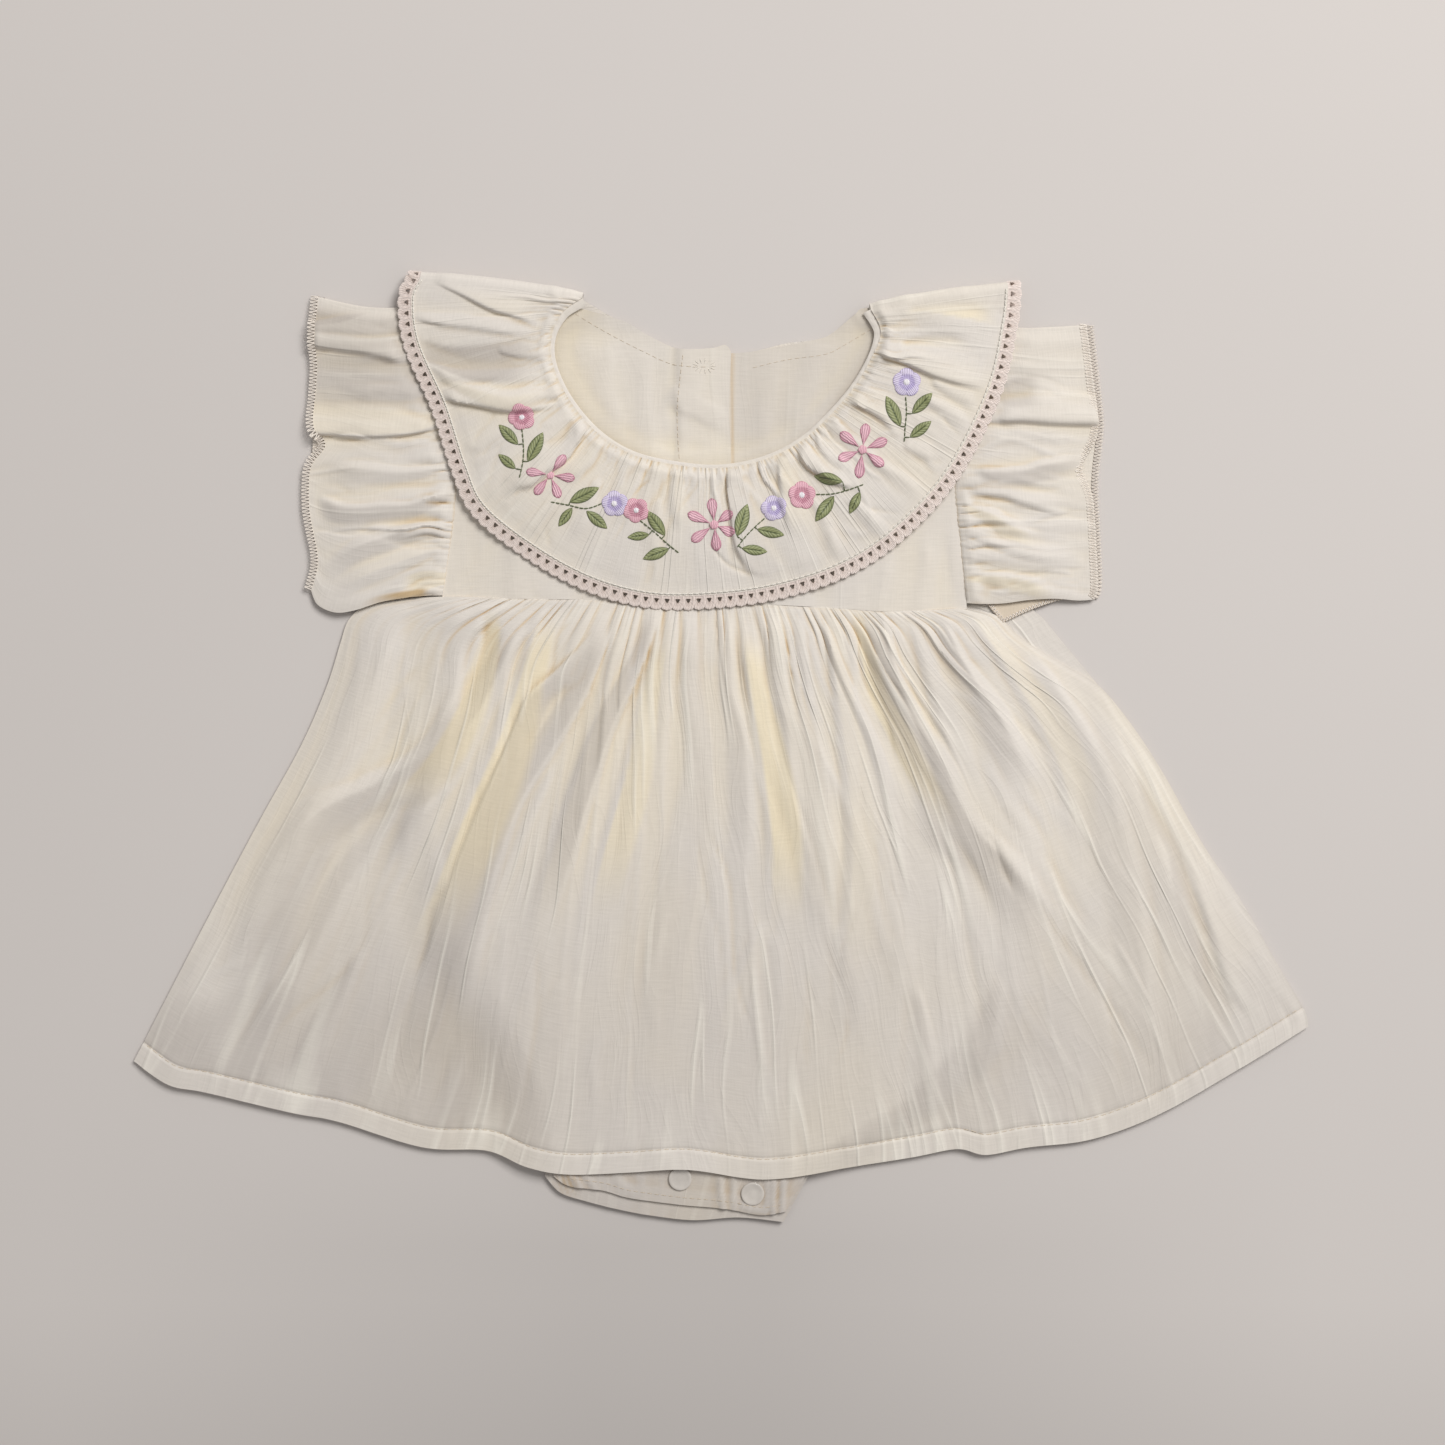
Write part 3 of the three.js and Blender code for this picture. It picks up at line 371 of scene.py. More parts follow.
class Gathers:
    """The small pleats that a seam takes in, rounded on top with sharp valleys between."""

    def __init__(self, count: int, seed: int) -> None:
        """Lay out the pleats.

        Args:
            count: How many pleats.
            seed: Picks their widths and heights.
        """
        self.count, self.seed = count, seed
        self.places = gather_places(count, seed)

    def columns(self, per_pleat: int) -> Array:
        """Shares across the seam, so many for each pleat."""
        fine = np.arange(self.count * per_pleat + 1) / per_pleat
        return np.interp(fine * 2, np.arange(len(self.places)), self.places)

    def pleat(self, u: Array) -> tuple[Array, Array]:
        """The number of the pleat at each share across, and how far across that pleat it is."""
        place = np.interp(u, self.places, np.arange(len(self.places))) / 2
        k = np.clip(np.floor(place), 0, self.count - 1)
        return k.astype(int), place - k

    def drape(
        self, uu: Array, vv: Array, start: float, full: float, reach: float, pinch: float = 0.3, near: float = 0.05
    ) -> Array:
        """Height of the pleats over a panel, mm.

        Args:
            uu: Share across the panel at each point.
            vv: Share down from the seam at each point.
            start: Height of a common pleat at the seam, mm.
            full: Its height where it is fullest, mm.
            reach: Share of the panel in which a common pleat runs out.
            pinch: Height of the small pinches beside the seam, mm.
            near: Share of the panel in which they fade.

        Returns:
            The height at each point.
        """
        drift = wander(uu * self.count / 4, vv * 3, self.seed + 30) * 0.7 / self.count * smooth(vv / 0.25)
        k, t = self.pleat(uu + drift)
        long = reach * (0.25 + 1.9 * uneven(k, self.seed + 20) ** 3)
        high = (0.3 + 0.95 * uneven(2 * k + 1, self.seed + 5)) * mix(start, full, smooth(vv / 0.07))
        crest = 0.2 + 0.6 * uneven(k, self.seed + 40)
        tent = np.clip(np.minimum(t / crest, (1 - t) / (1 - crest)), 0, 1)
        body = high * mix(np.sqrt(tent * (2 - tent)), tent, smooth(vv / 0.2)) * (1 - smooth((vv - 0.02) / long))
        fine = np.abs(np.sin(math.pi * (uu * self.count * 2.3 + wander(uu * self.count, vv * 8, self.seed + 31))))
        fade = near * (0.5 + 1.1 * uneven(np.floor(uu * self.count * 2.3), self.seed + 41))
        return body + pinch * fine * np.exp(-np.maximum(vv, 0) / fade)


def blur(z: Array, rows: int, cols: int) -> Array:
    """Box mean of a grid over a window of so many rows and columns each way."""
    for axis, n in ((0, rows), (1, cols)):
        pad = [(n + 1, n) if a == axis else (0, 0) for a in (0, 1)]
        total = np.cumsum(np.pad(z, pad, mode="edge"), axis=axis)
        size = z.shape[axis]
        z = (np.take(total, range(2 * n + 1, 2 * n + 1 + size), axis) - np.take(total, range(size), axis)) / (2 * n + 1)
    return z


# ---------------------------------------------------------------- making and placing meshes
def clear_selection() -> None:
    """Leave edit mode and deselect everything."""
    if bpy.context.object and bpy.context.object.mode != "OBJECT":
        bpy.ops.object.mode_set(mode="OBJECT")
    bpy.ops.object.select_all(action="DESELECT")


def finish_with(piece: Piece, kind: str, **settings: object) -> None:
    """Add a modifier with its settings, and apply it."""
    clear_selection()
    bpy.context.view_layer.objects.active = piece
    piece.select_set(True)
    modifier = piece.modifiers.new(kind.lower(), kind)
    for key, value in settings.items():
        setattr(modifier, key, value)
    bpy.ops.object.modifier_apply(modifier=modifier.name)


def soften(piece: Piece, degrees: float = 50) -> Piece:
    """Shade smooth, except across edges sharper than so many degrees."""
    clear_selection()
    bpy.context.view_layer.objects.active = piece
    piece.select_set(True)
    bpy.ops.object.shade_smooth_by_angle(angle=math.radians(degrees))
    return piece


def joined(name: str, parts: Sequence[Piece]) -> Piece:
    """Join several meshes into one that has this name."""
    clear_selection()
    for part in parts:
        part.select_set(True)
    bpy.context.view_layer.objects.active = parts[0]
    if len(parts) > 1:
        bpy.ops.object.join()
    piece = bpy.context.view_layer.objects.active
    piece.name = piece.data.name = name
    return piece


def pick(piece: Piece, kind: str, wanted: Callable[[object], bool]) -> None:
    """Select some of the piece's edges or faces, and stay in edit mode.

    Args:
        piece: The piece, which is active.
        kind: "edges" or "polygons".
        wanted: Says whether to take one of them.
    """
    bpy.ops.object.mode_set(mode="EDIT")
    bpy.ops.mesh.select_all(action="DESELECT")
    bpy.ops.object.mode_set(mode="OBJECT")
    for part in getattr(piece.data, kind):
        part.select = wanted(part)
    bpy.ops.object.mode_set(mode="EDIT")


def coordinates(piece: Piece) -> Array:
    """The piece's vertices, one row each, in metres."""
    found = np.empty(len(piece.data.vertices) * 3)
    piece.data.vertices.foreach_get("co", found)
    return found.reshape(-1, 3)


def move_to(piece: Piece, places: Array) -> None:
    """Put the piece's vertices at these places, in metres."""
    piece.data.vertices.foreach_set("co", np.ascontiguousarray(places).ravel())
    piece.data.update()


def spread_on_cloth(piece: Piece, places: Array) -> None:
    """Set each vertex's place on the flat cloth or thread, mm, kept as the piece's UV in metres."""
    mesh = piece.data
    corners = np.empty(len(mesh.loops), dtype=np.int32)
    mesh.loops.foreach_get("vertex_index", corners)
    layer = mesh.uv_layers.active or mesh.uv_layers.new(name="UVMap")
    layer.data.foreach_set("uv", (np.asarray(places, float) * MM)[corners].ravel())


def mark_points(piece: Piece, name: str, values: Array) -> None:
    """Store a value at each vertex for the finish to read."""
    layer = piece.data.attributes.new(name, "FLOAT", "POINT")
    layer.data.foreach_set("value", np.ascontiguousarray(values).ravel().astype(np.float32))


def woven_grid(name: str, points: Array, cut: Array, marks: dict[str, Array] | None = None) -> Piece:
    """Make a one-layer sheet whose vertices lie where they are told.

    Args:
        name: The piece's name.
        points: Rows by columns by 3, mm, with rows running down and columns to the right.
        cut: Rows by columns by 2: each vertex's place on the uncut cloth, mm, kept as its UV in metres.
        marks: Named values for each vertex that the cloth's finish reads.

    Returns:
        The sheet, facing up.
    """
    rows, cols = points.shape[:2]
    clear_selection()
    bpy.ops.mesh.primitive_grid_add(x_subdivisions=cols - 1, y_subdivisions=rows - 1, size=1, calc_uvs=True)
    sheet = bpy.context.object
    sheet.name = sheet.data.name = name
    move_to(sheet, points[::-1].reshape(-1, 3) * MM)
    spread_on_cloth(sheet, cut[::-1].reshape(-1, 2))
    for key, values in (marks or {}).items():
        mark_points(sheet, key, values[::-1])
    return sheet


def lay_cloth(
    name: str, points: Array, cut: Array, marks: dict[str, Array] | None = None, thick: float = CLOTH
) -> Piece:
    """Make a thin closed shell of cloth on a sheet of points.

    Args:
        name: The piece's name.
        points: As in woven_grid.
        cut: As in woven_grid.
        marks: As in woven_grid.
        thick: The cloth's thickness, mm.

    Returns:
        The shell.
    """
    piece = woven_grid(name, points, cut, marks)
    finish_with(piece, "SOLIDIFY", thickness=thick * MM, offset=0.0, use_quality_normals=True)
    return soften(piece, 60)


def valley_mark(z: Array, depth: float, reach: int = 7) -> Array:
    """How deep each point lies in a fold, from 0 to 1, as a mask for painted light and shade in folds."""
    return np.clip((blur(z, reach, reach) - z) / depth, 0, 1)


class Ground:
    """The upper side of a piece, for laying other things on it."""

    def __init__(self, piece: Piece) -> None:
        """Take the shape of the piece as it is now."""
        self.tree = BVHTree.FromObject(piece, bpy.context.evaluated_depsgraph_get())

    def height(self, x: Array, y: Array) -> Array:
        """Height of the piece at each point, mm. Points off the piece take the last height found."""
        found, last = np.empty(np.size(x)), 0.0
        for k, (a, b) in enumerate(zip(np.ravel(x), np.ravel(y))):
            hit = self.tree.ray_cast(Vector((a * MM, b * MM, 0.1)), Vector((0, 0, -1)))[0]
            last = last if hit is None else hit.z / MM
            found[k] = last
        return found.reshape(np.shape(x))


class Trail:
    """A way over the cloth that lace, thread or edging follows."""

    def __init__(self, points: Array, side: Array) -> None:
        """Measure the trail.

        Args:
            points: Where it runs, rows of x, y and z in mm.
            side: Unit vectors across it, one for each point.
        """
        self.points, self.side = points, side
        self.gone = np.r_[0, np.cumsum(np.linalg.norm(np.diff(points, axis=0), axis=1))]
        self.length = float(self.gone[-1])

    @classmethod
    def over(cls, ground: Ground, line: Line, lift: float, right: float = 0.0, step: float = 1.5) -> "Trail":
        """Lay a trail over a piece.

        Args:
            ground: The piece.
            line: The way, seen from above.
            lift: Height above the piece, mm.
            right: Shift to the right of the line, mm.
            step: Distance between points, mm.

        Returns:
            The trail, with its side to the right.
        """
        t = np.linspace(0, 1, max(3, int(line.length / step)))
        plan, d = line.shifted(t, np.full(len(t), right)), line.along(t)
        z = ground.height(plan[:, 0], plan[:, 1]) + lift
        side = np.stack([d[:, 1], -d[:, 0], np.zeros(len(t))], -1)
        return cls(np.column_stack([plan, z]), side)

    def bend(self, piece: Piece, scale: float = 1.0) -> None:
        """Bend a piece that was made along +X, with its right side along -Y, so that it follows the trail.

        Args:
            piece: Its x is the distance gone and its y the distance to the left, in metres.
            scale: Stretches x, so that a whole number of repeats fits.
        """
        place = coordinates(piece) / MM
        s = np.clip(place[:, 0] * scale, 0, self.length)
        at = np.stack([np.interp(s, self.gone, self.points[:, k]) for k in range(3)], -1)
        side = np.stack([np.interp(s, self.gone, self.side[:, k]) for k in range(3)], -1)
        side /= np.linalg.norm(side, axis=1, keepdims=True)
        ahead = np.stack([np.gradient(self.points[:, k], self.gone) for k in range(3)], -1)
        along = np.stack([np.interp(s, self.gone, ahead[:, k]) for k in range(3)], -1)
        up = np.cross(side, along)
        up /= np.linalg.norm(up, axis=1, keepdims=True)
        move_to(piece, (at - side * place[:, 1:2] + up * place[:, 2:3]) * MM)


def repeat_along(name: str, unit: Piece, pitch: float, trail: Trail, weld: bool = False) -> Piece:
    """Copy a unit that is pitch mm long along a trail.

    Args:
        name: The finished piece's name.
        unit: The unit, which starts at x = 0.
        pitch: Its length, mm.
        trail: The way it follows.
        weld: Join the units where they meet.

    Returns:
        The finished piece.
    """
    count = max(1, round(trail.length / pitch))
    finish_with(
        unit, "ARRAY", count=count, use_relative_offset=False, use_constant_offset=True,
        constant_offset_displace=(pitch * MM, 0, 0), use_merge_vertices=weld, merge_threshold=2e-5,
    )
    trail.bend(unit, trail.length / (count * pitch))
    unit.name = unit.data.name = name
    return soften(unit)


def thread_piece(path: Sequence[tuple[float, float, float]], radius: float, sides: int = 6) -> Piece:
    """A length of thread through some points, closed at its ends.

    Args:
        path: The points, mm.
        radius: Half its thickness, mm.
        sides: How many sides it has.

    Returns:
        The thread.
    """
    p = np.array(path, float)
    d = np.gradient(p, axis=0)
    d /= np.linalg.norm(d, axis=1, keepdims=True)
    across = np.cross(d, (0, 0, 1))
    across /= np.maximum(np.linalg.norm(across, axis=1, keepdims=True), 1e-6)
    over = np.cross(across, d)
    clear_selection()
    bpy.ops.mesh.primitive_cylinder_add(vertices=sides, radius=radius * MM, depth=MM, end_fill_type="NGON")
    piece = bpy.context.object
    heights = coordinates(piece)[:, 2]
    pick(piece, "edges", lambda edge: bool(np.ptp(heights[list(edge.vertices)]) > 0.5 * MM))
    if len(p) > 2:
        bpy.ops.mesh.subdivide(number_cuts=len(p) - 2)
    bpy.ops.object.mode_set(mode="OBJECT")
    place = coordinates(piece)
    row = np.rint((place[:, 2] / MM + 0.5) * (len(p) - 1)).astype(int)
    angle = np.arctan2(place[:, 1], place[:, 0])[:, None]
    taper = np.where((row == 0) | (row == len(p) - 1), 0.6, 1.0)[:, None] * radius
    move_to(piece, (p[row] + (across[row] * np.cos(angle) - over[row] * np.sin(angle)) * taper) * MM)
    gone = np.r_[0, np.cumsum(np.linalg.norm(np.diff(p, axis=0), axis=1))]
    spread_on_cloth(piece, np.column_stack([angle[:, 0] * radius + gone[row] * 0.6, gone[row]]))
    return piece


# ---------------------------------------------------------------- finishes
def rgb(red: float, green: float, blue: float) -> tuple[float, float, float, float]:
    """A display colour from 0 to 255 as the linear colour that a shader takes."""
    part = [c / 255 for c in (red, green, blue)]
    return (*(c / 12.92 if c <= 0.04045 else ((c + 0.055) / 1.055) ** 2.4 for c in part), 1.0)


class Tap:
    """A shader socket that can be used in sums."""

    def __init__(self, dye: "Dye", socket: bpy.types.NodeSocket) -> None:
        """Hold the socket and the material that it belongs to."""
        self.dye, self.socket = dye, socket

    def _sum(self, operation: str, first: object, second: object) -> "Tap":
        """Add a Math node."""
        return self.dye.node("ShaderNodeMath", {"operation": operation}, {0: first, 1: second})

    def __add__(self, other: object) -> "Tap":
        """Add."""
        return self._sum("ADD", self, other)

    __radd__ = __add__

    def __sub__(self, other: object) -> "Tap":
        """Take away."""
        return self._sum("SUBTRACT", self, other)

    def __rsub__(self, other: object) -> "Tap":
        """Take this away from a number."""
        return self._sum("SUBTRACT", other, self)

    def __mul__(self, other: object) -> "Tap":
        """Multiply."""
        return self._sum("MULTIPLY", self, other)

    __rmul__ = __mul__

    def __truediv__(self, other: object) -> "Tap":
        """Divide."""
        return self._sum("DIVIDE", self, other)

    def __pow__(self, other: object) -> "Tap":
        """Raise to a power."""
        return self._sum("POWER", self, other)


class Dye:
    """A material that is being mixed."""

    def __init__(self, name: str, roughness: float, **constants: float) -> None:
        """Start from a plain shader.

        Args:
            name: The material's name.
            roughness: Its roughness where nothing varies it.
            constants: Other sockets of the shader that are the same all over.
        """
        self.material = bpy.data.materials.new(name)
        self.material.use_nodes = True
        self.tree = self.material.node_tree
        self.shader = self.tree.nodes["Principled BSDF"]
        self.shader.inputs["Roughness"].default_value = roughness
        for key, value in constants.items():
            self.shader.inputs[key.replace("_", " ").title().replace("Ior", "IOR")].default_value = value

    def node(
        self, kind: str, settings: dict[str, object] | None = None, values: dict | None = None, out: int | str = 0
    ) -> Tap:
        """Add a node.

        Args:
            kind: The node's type.
            settings: Its properties. "stops" gives a colour ramp's places and colours.
            values: What its sockets take, a Tap to link or a constant, by name or number.
            out: Which output to hand back.

        Returns:
            That output.
        """
        made = self.tree.nodes.new(kind)
        for key, value in (settings or {}).items():
            if key == "stops":
                for k, (place, colour) in enumerate(value):
                    stop = made.color_ramp.elements[k] if k < 2 else made.color_ramp.elements.new(place)
                    stop.position, stop.color = place, colour
            else:
                setattr(made, key, value)
        for key, value in (values or {}).items():
            if isinstance(value, Tap):
                self.tree.links.new(value.socket, made.inputs[key])
            else:
                made.inputs[key].default_value = value
        return Tap(self, made.outputs[out])

    def feed(self, socket: str, value: Tap) -> None:
        """Lead a value to one of the shader's sockets."""
        self.tree.links.new(value.socket, self.shader.inputs[socket])

    def mark(self, name: str) -> Tap:
        """A value that the mesh carries at each vertex."""
        return self.node("ShaderNodeAttribute", {"attribute_name": name}, out="Fac")

    def cloth_place(self) -> tuple[Tap, Tap]:
        """Place on the uncut cloth, across and down, mm."""
        uv = self.node("ShaderNodeUVMap")
        parts = self.node("ShaderNodeSeparateXYZ", values={0: uv})
        down = Tap(self, parts.socket.node.outputs[1])
        return parts * 1000, down * 1000

    def object_place(self) -> tuple[Tap, Tap, Tap]:
        """Place on the object, mm."""
        place = self.node("ShaderNodeTexCoord", out="Object")
        parts = self.node("ShaderNodeSeparateXYZ", values={0: place})
        outputs = parts.socket.node.outputs
        return tuple(Tap(self, outputs[k]) * 1000 for k in range(3))

    def noise(self, x: Tap | float, y: Tap | float, z: Tap | float = 0.0, detail: float = 2, twist: float = 0) -> Tap:
        """Smooth noise, around 0.5, on coordinates whose unit is one blot."""
        place = self.node("ShaderNodeCombineXYZ", values={0: x, 1: y, 2: z})
        values = {"Vector": place, "Scale": 1.0, "Detail": detail, "Distortion": twist}
        return self.node("ShaderNodeTexNoise", {"noise_dimensions": "3D"}, values)

    def clamp(self, value: Tap, low: float = 0.0, high: float = 1.0, to_low: float = 0.0, to_high: float = 1.0) -> Tap:
        """Stretch the range from low to high onto to_low to to_high, and stop there."""
        values = {0: value, 1: low, 2: high, 3: to_low, 4: to_high}
        return self.node("ShaderNodeMapRange", {"clamp": True}, values)

    def blend(self, a: Tap | tuple, b: Tap | tuple, share: Tap | float, how: str = "MIX") -> Tap:
        """Mix two colours."""
        return self.node("ShaderNodeMix", {"data_type": "RGBA", "blend_type": how}, {0: share, 6: a, 7: b}, out=2)

    def shade(self, colour: Tap, level: Tap) -> Tap:
        """Multiply a colour by a grey level."""
        grey = self.node("ShaderNodeCombineXYZ", values={0: level, 1: level, 2: level})
        return self.node("ShaderNodeVectorMath", {"operation": "MULTIPLY"}, {0: colour, 1: grey})

    def relief(self, height: Tap, depth: float) -> Tap:
        """Raise the surface by a height whose unit is depth mm."""
        return self.node("ShaderNodeBump", values={"Strength": 1.0, "Distance": depth * MM, "Height": height})


@dataclass(frozen=True)
class CrinkledCotton:
    """Thin slubby cotton with a crinkle that runs down the cloth, with painted shade, warm light and highlights."""

    body: tuple[float, float, float] = (226, 219, 211)
    # Colour of a random tint over the cloth and of painted warm light and shade in folds, bands and the neckline.
    warm_tint_and_painted_light: tuple[float, float, float] = (238, 225, 198)
    # Colour of painted shade in narrow folds, gaps and openings.
    deep: tuple[float, float, float] = (206, 180, 142)
    shadow: tuple[float, float, float] = (218, 216, 216)
    # Colour of the painted highlight along pressed crease lines.
    painted_highlight: tuple[float, float, float] = (246, 241, 230)
    crinkle: float = 0.22
    crinkle_width: float = 7.0
    weave: float = 0.085
    # Sets both the raised bump of the pressed lines and their painted highlight.
    pressed: float = 0.5

    def lines(self, dye: "Dye", field_of: Tap, thin: float) -> Tap:
        """Lines, 1 in the middle, along the places where a field crosses its mean."""
        off = dye.node("ShaderNodeMath", {"operation": "ABSOLUTE"}, {0: field_of - 0.5})
        return dye.clamp(1.0 - off * thin)

    def make(self, name: str) -> bpy.types.Material:
        """Mix the material.

        Args:
            name: Its name.

        Returns:
            The material. It reads three marks, 0 where a piece has none: painted warm light, painted fold shade and
            painted shade.
        """
        dye = Dye(name, 0.86, sheen_weight=0.2, sheen_roughness=0.5, specular_ior_level=0.25)
        across, down = dye.cloth_place()
        weft = dye.noise(across * 0.11, down * 1.15, detail=3)
        warp = dye.noise(across * 1.3, down * 0.07, 7.0, detail=3)
        fine = dye.noise(across * 2.4, down * 2.4, 3.0, detail=1)
        drift = dye.noise(across * 0.02, down * 0.012, 11.0, detail=1) * 6.0
        long = dye.noise(across / self.crinkle_width + drift, down * 0.018, detail=2, twist=0.3)
        sharp = self.lines(dye, long, 9.0) ** 2.0
        far = dye.noise(across / (2.0 * self.crinkle_width) + drift * 0.14, down * 0.004, 17.0, detail=1)
        broken = dye.clamp(dye.noise(across * 0.05, down * 0.013, 23.0, detail=1), 0.42, 0.62)
        press = self.lines(dye, far, 25.0) * broken
        cloud = dye.noise(across * 0.014, down * 0.01, 5.0, detail=2)
        tone = dye.clamp(weft * 1.3 + warp * 0.7, 0.75, 1.25, 0.97, 1.025)
        colour = dye.blend(rgb(*self.body), rgb(*self.warm_tint_and_painted_light), dye.clamp(cloud, 0.42, 0.72, 0.0, 0.26))
        # Painted warm light and shade, laid in by its mark; the cloud blend above is a random tint.
        colour = dye.blend(colour, rgb(*self.warm_tint_and_painted_light), dye.mark("warm_tint_and_painted_light"))
        # Painted shade in narrow folds, gaps and openings, laid in by its mark.
        colour = dye.blend(colour, rgb(*self.deep), dye.mark("valley"))
        # Painted shade: multiplied in with the shadow colour where a piece marks it.
        colour = dye.blend(colour, rgb(*self.shadow), dye.mark("painted_shade"), "MULTIPLY")
        # Painted highlight along the pressed lines, which the bump below also raises.
        colour = dye.blend(colour, rgb(*self.painted_highlight), press * self.pressed)
        dye.feed("Base Color", dye.shade(colour, tone))
        dye.feed("Roughness", dye.clamp(fine, 0.3, 0.7, 0.8, 0.92))
        height = (weft + warp * 0.5) * self.weave + fine * (self.weave * 0.4)
        height = height + (long + sharp * 0.35) * self.crinkle + press * (self.pressed * 0.75)
        dye.feed("Normal", dye.relief(height, 1.0))
        return dye.material


@dataclass(frozen=True)
class CottonThread:
    """Sewing, crochet or embroidery thread."""

    body: tuple[float, float, float]
    other: tuple[float, float, float]
    strands: float = 1.6
    shine: float = 0.0
    rough: float = 0.7
    ridge: float = 0.16

    def make(self, name: str) -> bpy.types.Material:
        """Mix the material.

        Args:
            name: Its name.

        Returns:
            The material. The mark "tone" picks the shade, and the UV map's width lies across the strands.
        """
        dye = Dye(name, self.rough, sheen_weight=0.2, specular_ior_level=0.3 + self.shine)
        across, down = dye.cloth_place()
        wobble = dye.noise(across * 0.3, down * 0.5, detail=2) * 1.2
        phase = (across * self.strands + wobble) * math.pi
        strand = dye.node("ShaderNodeMath", {"operation": "SINE"}, {0: phase})
        round_top = dye.node("ShaderNodeMath", {"operation": "ABSOLUTE"}, {0: strand})
        fleck = dye.noise(across * 1.5, down * 0.4, 2.0, detail=2)
        colour = dye.blend(rgb(*self.body), rgb(*self.other), dye.mark("tone"))
        # Strand tops lighter and grooves darker: painted highlight and shade; the fleck is random tone.
        level = dye.clamp(round_top, 0.0, 0.8, 0.78, 1.05) * dye.clamp(fleck, 0.3, 0.7, 0.92, 1.06)
        dye.feed("Base Color", dye.shade(colour, level))
        dye.feed("Normal", dye.relief(round_top, self.ridge))
        return dye.material


@dataclass(frozen=True)
class SnapPlastic:
    """Smooth moulded cap."""

    body: tuple[float, float, float] = (214, 207, 199)

    def make(self, name: str) -> bpy.types.Material:
        """Mix the material and hand it back."""
        dye = Dye(name, 0.38, coat_weight=0.15)
        x, y, z = dye.object_place()
        bloom = dye.noise(x * 0.25, y * 0.25, z, detail=3)
        grain = dye.noise(x * 3.0, y * 3.0, z * 3.0, detail=2)
        colour = dye.blend(rgb(*self.body), rgb(*(c * 0.95 for c in self.body)), dye.clamp(bloom, 0.35, 0.65))
        dye.feed("Base Color", colour)
        dye.feed("Roughness", dye.clamp(grain, 0.3, 0.7, 0.32, 0.46))
        dye.feed("Normal", dye.relief(grain, 0.02))
        return dye.material


class Finish(Enum):
    """The romper's finishes."""

    SKIRT = CrinkledCotton()
    RUFFLE = CrinkledCotton(crinkle=0.14, crinkle_width=6.0, pressed=0.28)
    PLAIN = CrinkledCotton(crinkle=0.10, crinkle_width=8.0, pressed=0.14)
    CROCHET = CottonThread((243, 230, 223), (190, 168, 154), strands=1.5, ridge=0.08)
    OVERLOCK = CottonThread((248, 238, 227), (236, 220, 206), strands=1.2)
    TACK = CottonThread((224, 209, 188), (210, 194, 172), strands=1.2)
    SEWING = CottonThread((246, 240, 230), (238, 231, 220), strands=1.2)
    PINK = CottonThread((240, 192, 204), (186, 116, 140), strands=1.0, shine=0.3, rough=0.5, ridge=0.24)
    ROSE = CottonThread((238, 184, 197), (172, 96, 120), strands=1.25, shine=0.35, rough=0.48)
    LAVENDER = CottonThread((230, 219, 242), (156, 138, 198), strands=1.25, shine=0.35, rough=0.48)
    WHITE = CottonThread((250, 246, 250), (240, 232, 240), strands=1.3, shine=0.35, rough=0.42)
    LEAF = CottonThread((150, 156, 108), (66, 78, 42), strands=0.7, shine=0.25, rough=0.5)
    STEM = CottonThread((98, 110, 70), (120, 130, 86), strands=0.9, shine=0.2, rough=0.5)
    SNAP = SnapPlastic()

    @property
    def material(self) -> bpy.types.Material:
        """This finish's material, mixed once."""
        name = f"{type(self.value).__name__}_{self.name.lower()}"
        return bpy.data.materials.get(name) or self.value.make(name)


def dress(piece: Piece, finish: Finish, slot: str, *nodes: str) -> Piece:
    """Give a piece its finish, put it on the garment and report it.

    Args:
        piece: The piece.
        finish: Its finish. A piece that already carries materials keeps them.
        slot: Not used.
        nodes: The solids that it stands for.

    Returns:
        The piece.
    """
    if not piece.data.materials:
        piece.data.materials.append(finish.material)
    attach(piece, "root")
    if nodes:
        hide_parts(*nodes)
    LOG.info("%s: %d faces", piece.name, len(piece.data.polygons))
    return piece


